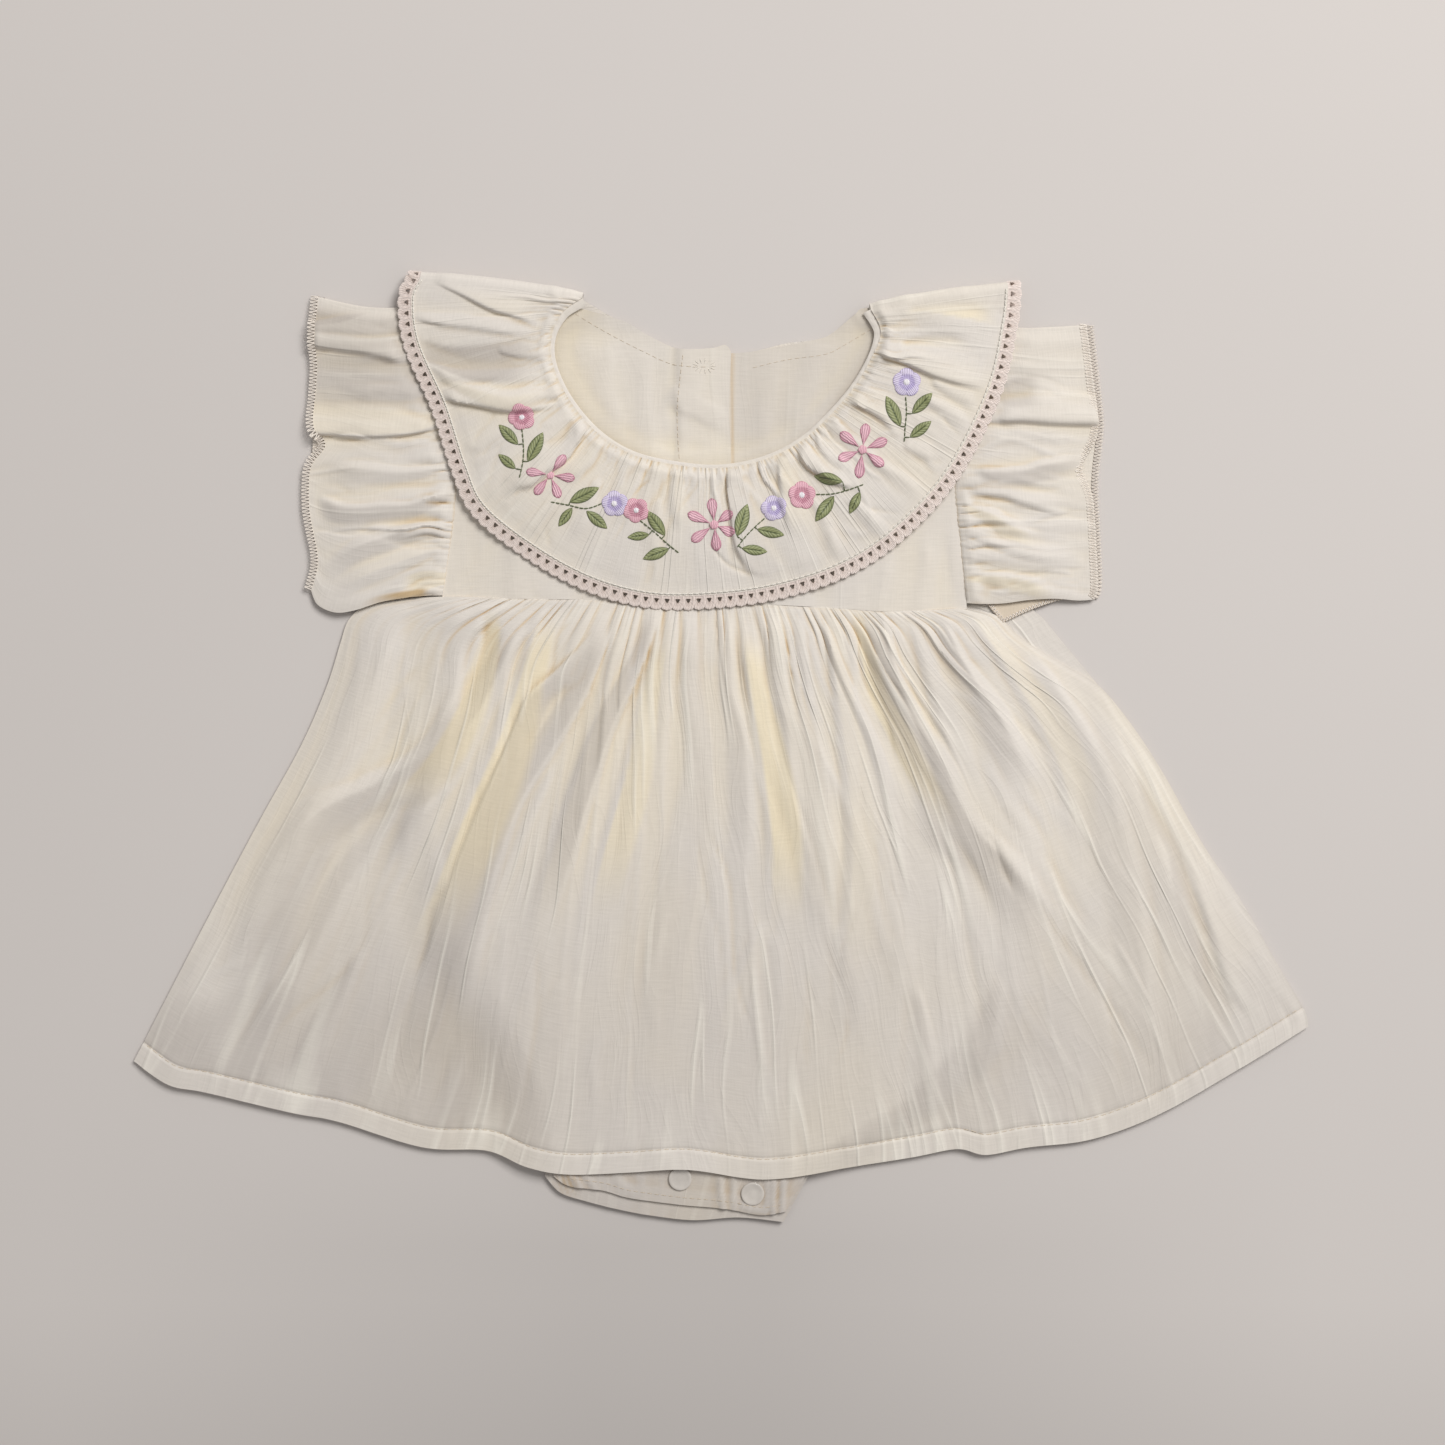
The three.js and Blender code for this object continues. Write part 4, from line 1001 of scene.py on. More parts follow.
# ---------------------------------------------------------------- skirt and bloomers
@dataclass
class Skirt:
    """Two flared panels, gathered into the waist seam, with a turned and stitched hem."""

    gathers: Gathers = field(default_factory=lambda: Gathers(GATHERS["waist"], 1))
    per_pleat: int = 8
    rows: int = 118
    hem: float = 9.0
    length: float = 258.0
    width: float = 520.0
    puff: float = 2.6
    folds: tuple[Fold, ...] = (
        Fold((-144, 56, -157, 21, -169, -11, -189, -47, -207, -96), 24, 12, 2.4),
        Fold((-115, 28, -129, 0, -152, -16, -180, -30, -199, -52, -211, -85, -216, -128), 9, 18, 3.4, -0.55, 0.8),
        Fold((-173, -40, -188, -65, -198, -93, -204, -137), 7, 9, 1.3, -0.35),
        Fold((-140, -18, -152, -39, -167, -61, -179, -84, -189, -103, -202, -125, -207, -157), 12, 5, 1.2, -0.3),
        Fold((-105, 60, -107, 41, -124, 4, -142, -18, -162, -34), 4, 12, -2.4, 0.9),
        Fold((-90, 54, -104, 23, -121, -5, -135, -33, -151, -60), 13, 7, 3.0, -0.45),
        Fold((-81, 57, -96, 11, -115, -33, -130, -69, -143, -94), 6, 18, 1.8, 0.9),
        Fold((-56, 50, -72, 33, -85, 21, -94, 0, -108, -33, -122, -71, -135, -114,
              -143, -155), 2.5, 14, 3.0, -0.6, 0.7),
        Fold((-74, -7, -90, -42, -105, -76, -114, -108, -119, -141), 10, 4, 1.2, -0.25),
        Fold((-49, 55, -61, 25, -72, 5, -89, -22, -98, -45, -107, -76, -113, -114), 12, 2.5, 2.6, -0.65, 0.6),
        Fold((-46, 58, -52, 25, -63, -11, -72, -38, -81, -69, -87, -105), 5, 16, 1.4, 0.2),
        Fold((-29, 59, -36, 38, -47, 14, -53, -2, -62, -31, -68, -52, -78, -83), 9, 2.4, 3.0, -0.7, 0.5),
        Fold((-29, 48, -36, 18, -42, -11, -52, -47, -61, -83), 3, 12, 1.4, 0.75),
        Fold((-27, 58, -30, 30, -36, -6, -42, -47, -49, -83), 4, 11, 1.7, 0.15),
        Fold((-13, 61, -14, 25, -11, -2, -15, -31, -20, -56, -24, -81, -29, -111, -36, -155), 7, 10, 1.6, -0.25),
        Fold((3, 59, 5, 25, 10, 4, 12, -38, 9, -69), 8, 5, 1.7, -0.3),
        Fold((10, 48, 14, 21, 19, -11, 23, -47, 22, -83), 3, 13, 1.6, 0.95),
        Fold((22, 63, 24, 34, 30, 7, 33, -24, 39, -50, 41, -83), 5, 14, 2.6, 0.1),
        Fold((34, 61, 38, 30, 45, -6, 48, -47, 47, -96), 9, 5, 1.3, -0.25),
        Fold((47, 61, 52, 25, 57, -15, 59, -47, 57, -78, 54, -123), 4, 10, 1.9, 0.2),
        Fold((58, 60, 63, 39, 67, 21, 77, 0, 87, -20, 99, -40), 5, 10, -1.8, 0.7),
        Fold((71, 61, 77, 37, 86, 14, 98, -6, 111, -34, 130, -54, 145, -77, 156, -100), 17, 5, 3.4, -0.65),
        Fold((86, 56, 96, 21, 108, -15, 127, -47, 144, -69, 163, -96), 5, 16, 1.8),
        Fold((99, 56, 108, 38, 123, 15, 132, -2, 144, -24), 11, 5, 2.4, -0.5),
        Fold((111, 60, 128, 35, 144, 8, 155, -20, 156, -42), 4, 12, 1.7, 0.35),
        Fold((130, 57, 151, 25, 169, -6, 180, -42, 189, -83, 194, -137), 12, 5, 2.0, -0.2),
        Fold((153, 43, 170, 25, 180, -2, 193, -38, 207, -78, 216, -123), 14, 9, 1.8, -0.2),
        Fold((187, -6, 195, -29, 206, -46, 210, -63, 217, -86, 222, -108, 227, -123, 234, -144), 8, 4, -2.0, -0.6),
        Fold((171, 25, 193, -15, 208, -47, 218, -72, 227, -99, 236, -128), 2.5, 10, 2.3, 0.05, 0.9, 0.25),
        Fold((81, -69, 81, -92, 81, -123), 4, 6, 0.7),
        Fold((52, -80, 54, -105, 53, -137), 4, 7, 0.8, -0.2),
        Fold((88, -108, 94, -140, 94, -165), 6, 3, 1.0, -0.3),
        Fold((19, -78, 10, -100, 2, -115, -2, -141), 5, 9, 0.9, 0.1),
        Fold((126, -105, 121, -132, 115, -159), 9, 5, 0.9, -0.2),
        Fold((-72, -105, -78, -132, -81, -164), 5, 8, 0.9, -0.15),
        Fold((-161, -92, -169, -110, -181, -135, -189, -157), 8, 4, 1.3, -0.3),
    )

    def over_bloomers(self, x: Array, y: Array, fall: float, out: float) -> Array:
        """1 above the bloomers, falling to 0 over some mm that end so many mm outside them."""
        left, right = np.array(BLOOMER_LEFT)[::-1], np.array(BLOOMER_RIGHT)[::-1]
        a, b = np.interp(y, left[:, 1], left[:, 0]), np.interp(y, right[:, 1], right[:, 0])
        return smooth((x - a + out) / fall) * smooth((b + out - x) / fall)

    def surface(self) -> Surface:
        """Shape the front panel.

        Returns:
            Its points, its place on the uncut cloth, and its marks.
        """
        u = self.gathers.columns(self.per_pleat)
        lip = 1 - np.array([self.hem + d for d in (4.5, 2.6, 1.3, 0.6, 0, -0.7, -1.6)]) / self.length
        v = np.unique(np.r_[-0.007, 0.004, np.linspace(0, 1, self.rows) ** 1.12, lip])
        top, low = Line(WAIST), Line(HEM)
        plan = panel(top, low, Line(SKIRT_LEFT), Line(SKIRT_RIGHT), u, v)
        x, y = plan[..., 0], plan[..., 1]
        uu, vv = np.meshgrid(u, v)
        side = off_ends(uu, 0.05)
        edge = off_ends(uu, 0.02)
        near_snap = np.hypot(x - SNAPS[1][0], y - SNAPS[1][1]) / 13
        base = mix(
            mix(HEIGHTS["skirt_side"], HEIGHTS["front_bodice"], edge),
            mix(HEIGHTS["skirt_side"], HEIGHTS["skirt_over_bloomers"], self.over_bloomers(x, y, 26, 30)),
            smooth(vv / 0.1),
        ) + 1.7 * np.exp(-near_snap**2)
        base = base - 0.6 * (1 - smooth(np.minimum(uu, 1 - uu) / 0.012)) * smooth(vv / 0.1)
        gather = self.gathers.drape(uu, vv, 0.5, 1.9, 0.4) * smooth((vv + 0.006) / 0.02)
        puff = self.puff * side * smooth(vv / 0.12) * (1 - 0.75 * smooth((vv - 0.45) / 0.5))
        long, fold_warm_light, fold_cool_shade, lean = lay_folds(self.folds, x, y)
        folds = 0.75 * long * side * smooth(vv / 0.04)
        small = scattered(top, low, 70, 12, (0.1, 0.42), (1.2, 3.2), 0.7)
        folds += fold_height(small, x, y) * side * smooth(vv / 0.05) * (1 - smooth((vv - 0.9) / 0.06))
        drift = 1.3 * wander(uu * 3, vv * 2, 3)
        soft = 0.6 * wander(uu * 13 + drift, vv * 1.8, 4) + 0.25 * wander(uu * 34 + drift, vv * 3, 5)
        sharp = (1 - np.abs(wander(uu * 40 + drift, vv * 2.4, 6))) ** 6 * 0.4
        body = side * smooth(vv / 0.05) * (1 - 0.6 * smooth((vv - 0.6) / 0.35))
        from_hem = (1 - vv) * self.length
        turn = 0.3 * smooth((self.hem - from_hem) / 0.8) - 0.45 * np.exp(-(((from_hem - self.hem) / 0.8) ** 2))
        pucker = 0.4 * wander(uu * 150, vv * 4, 7) * np.exp(-(((from_hem - self.hem) / 6) ** 2))
        tuck = 1.1 * smooth(-vv / 0.007) + 0.35 * np.exp(-((vv / 0.006) ** 2))
        z = base + np.maximum(0, puff + gather * side + folds + (soft + sharp) * body) + turn + pucker - tuck
        cut = np.stack([uu * self.width, vv * self.length], -1)
        # Greyer where the skirt lies as one layer off the bloomers, low down: partly the board showing through, partly
        # painted shade.
        single_layer_shade = (1 - self.over_bloomers(x, y, 9, 5)) * smooth((-55 - y) / 60)
        # Painted shade in narrow folds, painted warm light and shade in wide folds and creamy bands, and painted shade
        # on cool bands, off the bloomers and towards the bottom, less to the right and in a strip by the left edge.
        marks = {
            "valley": valley_mark(z, 0.8, 2) * (1 - 0.75 * smooth((vv - 0.08) / 0.2)) * (1 - smooth((vv - 0.75) / 0.2)),
            "warm_tint_and_painted_light": np.clip(fold_warm_light + 0.8 * valley_mark(z, 2.2, 9) * (1 - 0.7 * smooth((vv - 0.3) / 0.4)), 0, 1),
            "painted_shade": np.clip(
                0.75 * fold_cool_shade
                + 0.42 * single_layer_shade * mix(0.4, 1, smooth((-100 - y) / 40)) * (0.8 + 0.3 * wander(x / 20, y / 26, 8))
                + 0.32 * smooth((-10 - y) / 150) * mix(1.0, 0.25, smooth((x - 10) / 160))
                - 0.5 * np.exp(-(((uu * 430 - 14) / 10) ** 2)) * smooth((y + 125) / 20),
                0, 1,
            ),
        }
        # Less painted shade on the turned hem band.
        band = smooth((self.hem + 0.5 - from_hem) / 1.0)
        marks["painted_shade"] = marks["painted_shade"] * (1 - 0.7 * band)
        x = x + lean[..., 0] * side
        return np.stack([x, y, z], -1), cut, marks

    def build(self) -> Piece:
        """Make and dress both panels and the hem stitches.

        Returns:
            The front panel.
        """
        u, v = np.linspace(0, 1, 60), np.linspace(0, 1, 40)
        plan = panel(Line(WAIST), Line(HEM), Line(BACK_SKIRT_LEFT), Line(BACK_SKIRT_RIGHT), u, v)
        plan = plan * (0.998, 1) + np.stack([np.zeros((40, 60)), np.repeat(0.6 * (2 * v - 0.6)[:, None], 60, 1)], -1)
        flat = np.dstack([plan, np.full(plan.shape[:2], FLOOR)])
        cut = np.stack(np.meshgrid(u * self.width, v * self.length), -1)
        back = dress(lay_cloth("back_skirt", flat, cut), Finish.SKIRT, "cotton", "skirt_back")
        points, cut, marks = self.surface()
        front = dress(lay_cloth("front_skirt", points, cut, marks), Finish.SKIRT, "cotton", "skirt_front")
        row = stitch_row("hem_stitches", Ground(front), Line(HEM), -self.hem, 2.6, 0.9, 0.16)
        dress(row, Finish.TACK, "cotton")
        return front


def stitch_row(
    name: str, ground: Ground, line: Line, right: float, long: float, gap: float, radius: float, lift: float = 0.0
) -> Piece:
    """A row of straight stitches along a line on the cloth.

    Args:
        name: The row's name.
        ground: The cloth.
        line: The line.
        right: Its shift to the right, mm.
        long: Length of a stitch, mm.
        gap: Space between two stitches, mm.
        radius: Half the thread's thickness, mm.
        lift: Extra height, mm.

    Returns:
        The row.
    """
    half = gap / 2
    dips = [(half, 0, -0.5 * radius), (half + long * 0.2, 0, radius * 0.4), (half + long * 0.8, 0, radius * 0.4),
            (half + long, 0, -0.5 * radius)]
    unit = thread_piece(dips, radius, 5)
    return repeat_along(name, unit, long + gap, Trail.over(ground, line, lift, right))


@dataclass
class Bloomers:
    """Two layers below the skirt, with elastic leg ends and a snap flap at the crotch."""

    cap_radius: float = 5.2
    cap_height: float = 1.0
    cap_rim: float = 0.45
    length: float = 262.0
    width: float = 240.0
    columns: int = 130
    hidden_columns: int = 100
    flap: tuple[Crease, ...] = (
        Crease(0, -193, 2, -211, 0.5, 0, 1.6, 1.1, 1.6),
        Crease(24, -194, 23.7, -212, 0.4, 0, 1.5, 1.5, 1.4),
        Crease(28, -194, 27.3, -212, 0, 0, 1.3, 1.3),
        Crease(20.5, -192, 20.2, -210, -0.4, 0, 1.0, 0.8),
        Crease(5.5, -192, 6, -209, 0, 0, 1.1, 0.8),
        Crease(9, -206, 21, -209, 0, 0, 1.6, 0.7),
        Crease(-70, -188, -62, -199, 0, 0, 1.6, 0.9, 1.3),
        Crease(-64, -188, -55, -200, 0, 0, 1.5, 0.6, 1.2),
        Crease(-48, -192, -36, -203, 1, 0, 2.4, 0.35),
    )

    def layer(self, name: str, hem: Points, level: float, creases: Sequence[Crease], inset: float) -> Piece:
        """One layer. The one behind has no creases and fewer columns.

        Args:
            name: Its name.
            hem: Its lower edge.
            level: Its height, mm.
            creases: Its folds.
            inset: How much narrower it is at each side, mm.

        Returns:
            The layer.
        """
        left = Line([(x + inset, y) for x, y in BLOOMER_LEFT] + [hem[0]])
        right = Line([(x - inset, y) for x, y in BLOOMER_RIGHT[:-1]] + [hem[-1]])
        top = Line([(BLOOMER_LEFT[0][0] + inset, 58), (0, 57), (BLOOMER_RIGHT[0][0] - inset, 58)])
        u = np.linspace(0, 1, self.columns if creases else self.hidden_columns)
        v = np.r_[np.linspace(0, 0.8, 24, endpoint=False), np.linspace(0.8, 1, 36)]
        plan = panel(top, Line(hem), left, right, u, v)
        x, y = plan[..., 0], plan[..., 1]
        low = smooth((-180 - y) / 14)
        ripple = 0.22 * np.maximum(0, wander(x / 5, y / 26, 31)) + 0.12 * np.maximum(0, wander(x / 2.2, y / 12, 32))
        from_hem = (1 - v[:, None]) * self.length
        turn = 0.2 * smooth((6.5 - from_hem) / 0.8)
        z = level + np.maximum(0, fold_height(creases, x, y)) + (ripple + turn) * low
        cut = np.stack(np.meshgrid(u * self.width, v * self.length), -1)
        # Painted shade in the elastic gathers at the left leg end.
        elastic_shade = 0.75 * np.exp(-(((x + 69) / 5) ** 2) - ((y + 194) / 8) ** 2)
        elastic_shade = elastic_shade * (0.55 + 0.45 * np.sin(x * 2.4 + y * 0.8))
        # Painted shade in the folds and gathers, and an even painted shade over the whole layer for the dimmer light
        # low down.
        marks = {"valley": np.clip(valley_mark(z, 0.8, 4) + elastic_shade, 0, 1), "painted_shade": 0.7 + 0 * z}
        return lay_cloth(name, np.stack([x, y, z], -1), cut, marks)

    def build(self) -> None:
        """Make and dress both layers, the flap's stitches and the snap caps."""
        back = self.layer("bloomers_back", BLOOMER_BACK_HEM, FLOOR + LAYER, (), 0)
        dress(back, Finish.PLAIN, "cotton", "bloomer_back")
        front = self.layer("bloomers_front", BLOOMER_FRONT_HEM, HEIGHTS["crotch_flap"], self.flap, 1)
        dress(front, Finish.PLAIN, "cotton", "bloomer_front")
        ground = Ground(front)
        row = stitch_row("flap_stitches", ground, Line(BLOOMER_FRONT_HEM[1:]), -3.4, 2.4, 0.8, 0.14)
        dress(row, Finish.TACK, "cotton")
        for k, (x, y) in enumerate(SNAPS, 1):
            dress(self.cap(f"snap_{k}", x, y), Finish.SNAP, "snap", f"snap_cap_{k}")

    def cap(self, name: str, x: float, y: float) -> Piece:
        """A moulded snap cap with a soft rim and a shallow dish."""
        clear_selection()
        z = HEIGHTS["crotch_flap"] + 0.5
        bpy.ops.mesh.primitive_cylinder_add(
            vertices=48, radius=self.cap_radius * MM, depth=self.cap_height * MM,
            location=(x * MM, y * MM, (z + 0.5) * MM),
        )
        cap = bpy.context.object
        cap.name = cap.data.name = name
        bpy.ops.object.transform_apply(location=True, rotation=True, scale=True)
        pick(cap, "polygons", lambda face: face.normal.z > 0.9)
        for thickness, depth in ((1.1, 0.0), (0.5, -0.18), (2.4, 0.06)):
            bpy.ops.mesh.inset(thickness=thickness * MM, depth=depth * MM)
        bpy.ops.object.mode_set(mode="OBJECT")
        finish_with(
            cap, "BEVEL", width=self.cap_rim * MM, segments=4, limit_method="ANGLE", angle_limit=math.radians(40)
        )
        return soften(cap, 35)


# ---------------------------------------------------------------- bodice
@dataclass
class Bodice:
    """A plain front, and two back halves that overlap in a placket."""

    placket: float = 4.6
    under: float = -17.0
    corner: float = 0.3
    slit: tuple[float, float] = (-7.6, 170.5)
    slit_reach: tuple[float, float] = (4.2, 2.4)
    bars: int = 13
    tucks: tuple[Crease, ...] = (
        Crease(-112.5, 66, -107, 122, 0, 0, 0.8, -0.5),
        Crease(-95, 66, -92, 96, 1, 0, 3, 0.6, 1.5),
        Crease(-80, 66, -84, 84, 0, 0, 3, 0.5, 1.5),
        Crease(70, 61, 74, 84, 0, 0, 3, 0.5, 1.5),
        Crease(88, 61, 92, 92, 1, 0, 4, 0.7, 1.5),
        Crease(100, 62, 98, 112, 1, 0, 4, -0.5, 1.5),
    )
    back_folds: tuple[Crease, ...] = (
        Crease(-22, 160, 2, 148, 1, 0, 5, 0.9, 2),
        Crease(-24, 152, 3, 138, 1, 0, 4, -0.5, 2),
        Crease(-52, 178, -46, 138, 2, 0, 6, 0.7, 1.4),
        Crease(-34, 176, -30, 128, 1, 0, 5, 0.5, 1.4),
        Crease(24, 176, 18, 130, 1, 0, 6, 0.6, 1.4),
        Crease(44, 180, 34, 140, 1, 0, 6, 0.6, 1.4),
    )

    def back_level(self, y: Array) -> Array:
        """Height of a back half, which dips to the surface below the ruffle, mm."""
        return mix(FLOOR, HEIGHTS["back_bodice"], smooth((y - 66) / 20))

    def half(self, name: str, edges: tuple[Line, Line, Line, Line], placket: float) -> Piece:
        """One back half.

        Args:
            name: Its name.
            edges: Its top, bottom, left and right edges.
            placket: 1 if its centre edge rises over the other half.

        Returns:
            The half.
        """
        u, v = np.linspace(0, 1, 110), np.linspace(0, 1, 90)
        plan = panel(*edges, u, v)
        x, y = plan[..., 0], plan[..., 1]
        inside = smooth((y - 100) / 20) * smooth((x + 70) / 12) * smooth((60 - x) / 12) * smooth((186 - y) / 10)
        soft = 0.35 * wander(x / 16, y / 22, 41) + 0.16 * wander(x / 6, y / 15, 42)
        rim = Line(NECK_FRONT).at(np.linspace(0, 1, 60))
        near = np.min(np.linalg.norm(plan[:, :, None] - rim[None, None], axis=-1), axis=2)
        z = self.back_level(y) + placket * LAYER * smooth((x + 22) / 5)
        z = z + 1.5 * smooth((y - 183) / 13) + 1.4 * smooth((10 - near) / 8) * smooth((y - 100) / 20)
        z = np.minimum(z + inside * np.maximum(-0.25, fold_height(self.back_folds, x, y) + soft), 3.6)
        cut = np.stack([x - CUT_CORNER[0], CUT_CORNER[1] - y], -1)
        # Painted warm shade inside the neckline, towards its lower edge, its sides and the left neck edge.
        inner = 0.5 * smooth((148 - y) / 24) + 0.35 * smooth((np.abs(x + 2) - 38) / 26)
        inner = inner + 0.35 * smooth((14 - near) / 12) * smooth((-24 - x) / 20)
        # Painted warm shade in folds and inside the neckline, a painted shadow line on the lower half beside the
        # placket's edge, and painted shade by the neck edges and over the right half.
        marks = {
            "warm_tint_and_painted_light": np.clip(0.6 * valley_mark(z, 1.2, 5) + inner * (0.85 + 0.15 * wander(x / 9, y / 12, 43)), 0, 1),
            "valley": (1 - placket) * 0.6 * np.exp(-(((x - self.placket - 0.5) / 0.8) ** 2)),
            "painted_shade": np.clip(
                0.4 * smooth((18 - near) / 16) * smooth((-24 - x) / 20)
                + 0.5 * smooth((7 - near) / 6) * smooth((x - 44) / 10) + 0.3 * smooth(x / 10),
                0, 1,
            ),
        }
        return lay_cloth(name, np.stack([x, y, z], -1), cut, marks)

    def build(self) -> None:
        """Make and dress the front, the back halves and their stitches."""
        tip_l, tip_r = SHOULDER_LEFT[1], SHOULDER_RIGHT[1]
        neck = Line([tip_l, (-84, 200.4), *NECK_BACK_LEFT[1:4], (-4, 178.6), (1.8, 180), (self.placket, 177)])
        edge = Line([(self.placket, 177), (self.placket - 1, 150), (self.placket - 0.2, 130), (self.placket - 0.5, 65)])
        low = Line([(-125, 67.6), (-60, 66.4), (self.placket - 0.5, 65)])
        left = self.half("back_bodice_left", (neck, low, Line(ARMHOLE_LEFT), edge), 1)
        dress(left, Finish.PLAIN, "cotton", "bodice_back_left")
        neck_r = Line([(self.under, 177.2), (5, 176.4), (20, 178.2), *NECK_BACK_RIGHT[2:0:-1], (60, 193.5),
                       SHOULDER_RIGHT[0], tip_r])
        edge_r = Line([(self.under, 177.2), (self.under, 120), (self.under, 65.5)])
        low_r = Line([(self.under, 65.5), (45, 62.8), (110.3, 62.4)])
        right = self.half("back_bodice_right", (neck_r, low_r, edge_r, Line(ARMHOLE_RIGHT)), 0)
        dress(right, Finish.PLAIN, "cotton", "bodice_back_right")
        ground = Ground(left)
        rows = [
            stitch_row("placket_stitches", ground, Line([(-17, 176), (-19.6, 150), (-18.2, 122)]), 0, 2.3, 0.9, 0.15),
            stitch_row("back_neck_stitches", ground, Line(NECK_BACK_LEFT), 7.5, 2.3, 0.9, 0.12),
            self.buttonhole(ground),
        ]
        for row in rows:
            dress(row, Finish.SEWING if row is rows[-1] else Finish.TACK, "cotton")
        other = stitch_row("back_neck_stitches_right", Ground(right), Line(NECK_BACK_RIGHT[:5]), -7.5, 2.3, 0.9, 0.12)
        dress(other, Finish.TACK, "cotton")
        front = self.front()
        dress(front, Finish.PLAIN, "cotton", "bodice_front")

    def front(self) -> Piece:
        """The front, ruled from the neck edge out to the armholes and the waist."""
        u = np.linspace(0, 1, 201)
        v = np.linspace(0, 1, 50)
        waist = Line([(x, y - 0.2) for x, y in WAIST])
        arm_l, arm_r = Line(ARMHOLE_LEFT), Line(ARMHOLE_RIGHT)
        c = self.corner
        outer = np.where(
            (u < c - 1e-6)[:, None], arm_l.at(u / c),
            np.where((u > 1 - c + 1e-6)[:, None], arm_r.at((1 - u) / c), waist.at((u - c) / (1 - 2 * c))),
        )
        neck = Line([SHOULDER_LEFT[0], *NECK_FRONT[1:-1], SHOULDER_RIGHT[0]]).at(u)
        plan = mix(neck[None], outer[None], v[:, None, None])
        x, y = plan[..., 0], plan[..., 1]
        level = smooth((x + 122) / 40) * smooth((108 - x) / 40)
        low = smooth((105 - y) / 20) * smooth((x + 124) / 8) * smooth((109 - x) / 8)
        waves = 0.4 * wander(x / 9, y / 30, 51) + 0.2 * wander(x / 4, y / 18, 52)
        z = mix(HEIGHTS["front_bodice_side"], HEIGHTS["front_bodice"], level)
        z = z + low * np.clip(fold_height(self.tucks, x, y) + waves, -0.3, 0.9)
        cut = np.stack([x - CUT_CORNER[0], CUT_CORNER[1] - y], -1)
        # Painted warm shade in the folds.
        return lay_cloth("front_bodice", np.stack([x, y, z], -1), cut, {"warm_tint_and_painted_light": 0.6 * valley_mark(z, 1.2, 5)})

    def buttonhole(self, ground: Ground) -> Piece:
        """Close bar stitches round a short slit near the top of the placket."""
        (x0, y0), (long, high), count, bar = self.slit, self.slit_reach, self.bars, 1.1
        bars = []
        for k in range(count):
            turn = 2 * math.pi * k / count
            x, y = x0 + long * math.cos(turn), y0 + high * math.sin(turn)
            d = (math.cos(turn) * bar, math.sin(turn) * bar)
            z = float(ground.height(np.array([x]), np.array([y]))[0]) + 0.1
            bars.append(thread_piece([(x - d[0], y - d[1], z), (x, y, z + 0.08), (x + d[0], y + d[1], z)], 0.12, 5))
        return joined("buttonhole", bars)


# ---------------------------------------------------------------- ruffle collar
def rolled_end(end: Array, out: Array, low: float, angles: Sequence[float], upward: bool = False) -> Array:
    """Columns of points that carry an edge of cloth round a fold.

    Args:
        end: The edge, rows of x, y and z, mm.
        out: Unit vector in the plane that points past the fold.
        low: Height of the layer at the fold's other side, mm.
        angles: Angles round the fold, degrees, from the edge on.
        upward: True if the edge is the lower layer, and low is the height of the upper one at each row.

    Returns:
        One column for each angle.
    """
    radius = (np.asarray(low) - end[:, 2]) / 2 if upward else (end[:, 2] - np.asarray(low)) / 2
    columns = []
    for angle in np.radians(angles):
        rise = radius * (1 - math.cos(angle)) * (1 if upward else -1)
        reach = np.abs(radius) * math.sin(angle)
        columns.append(end + np.column_stack([out[0] * reach, out[1] * reach, rise]))
    return np.stack(columns, 1)


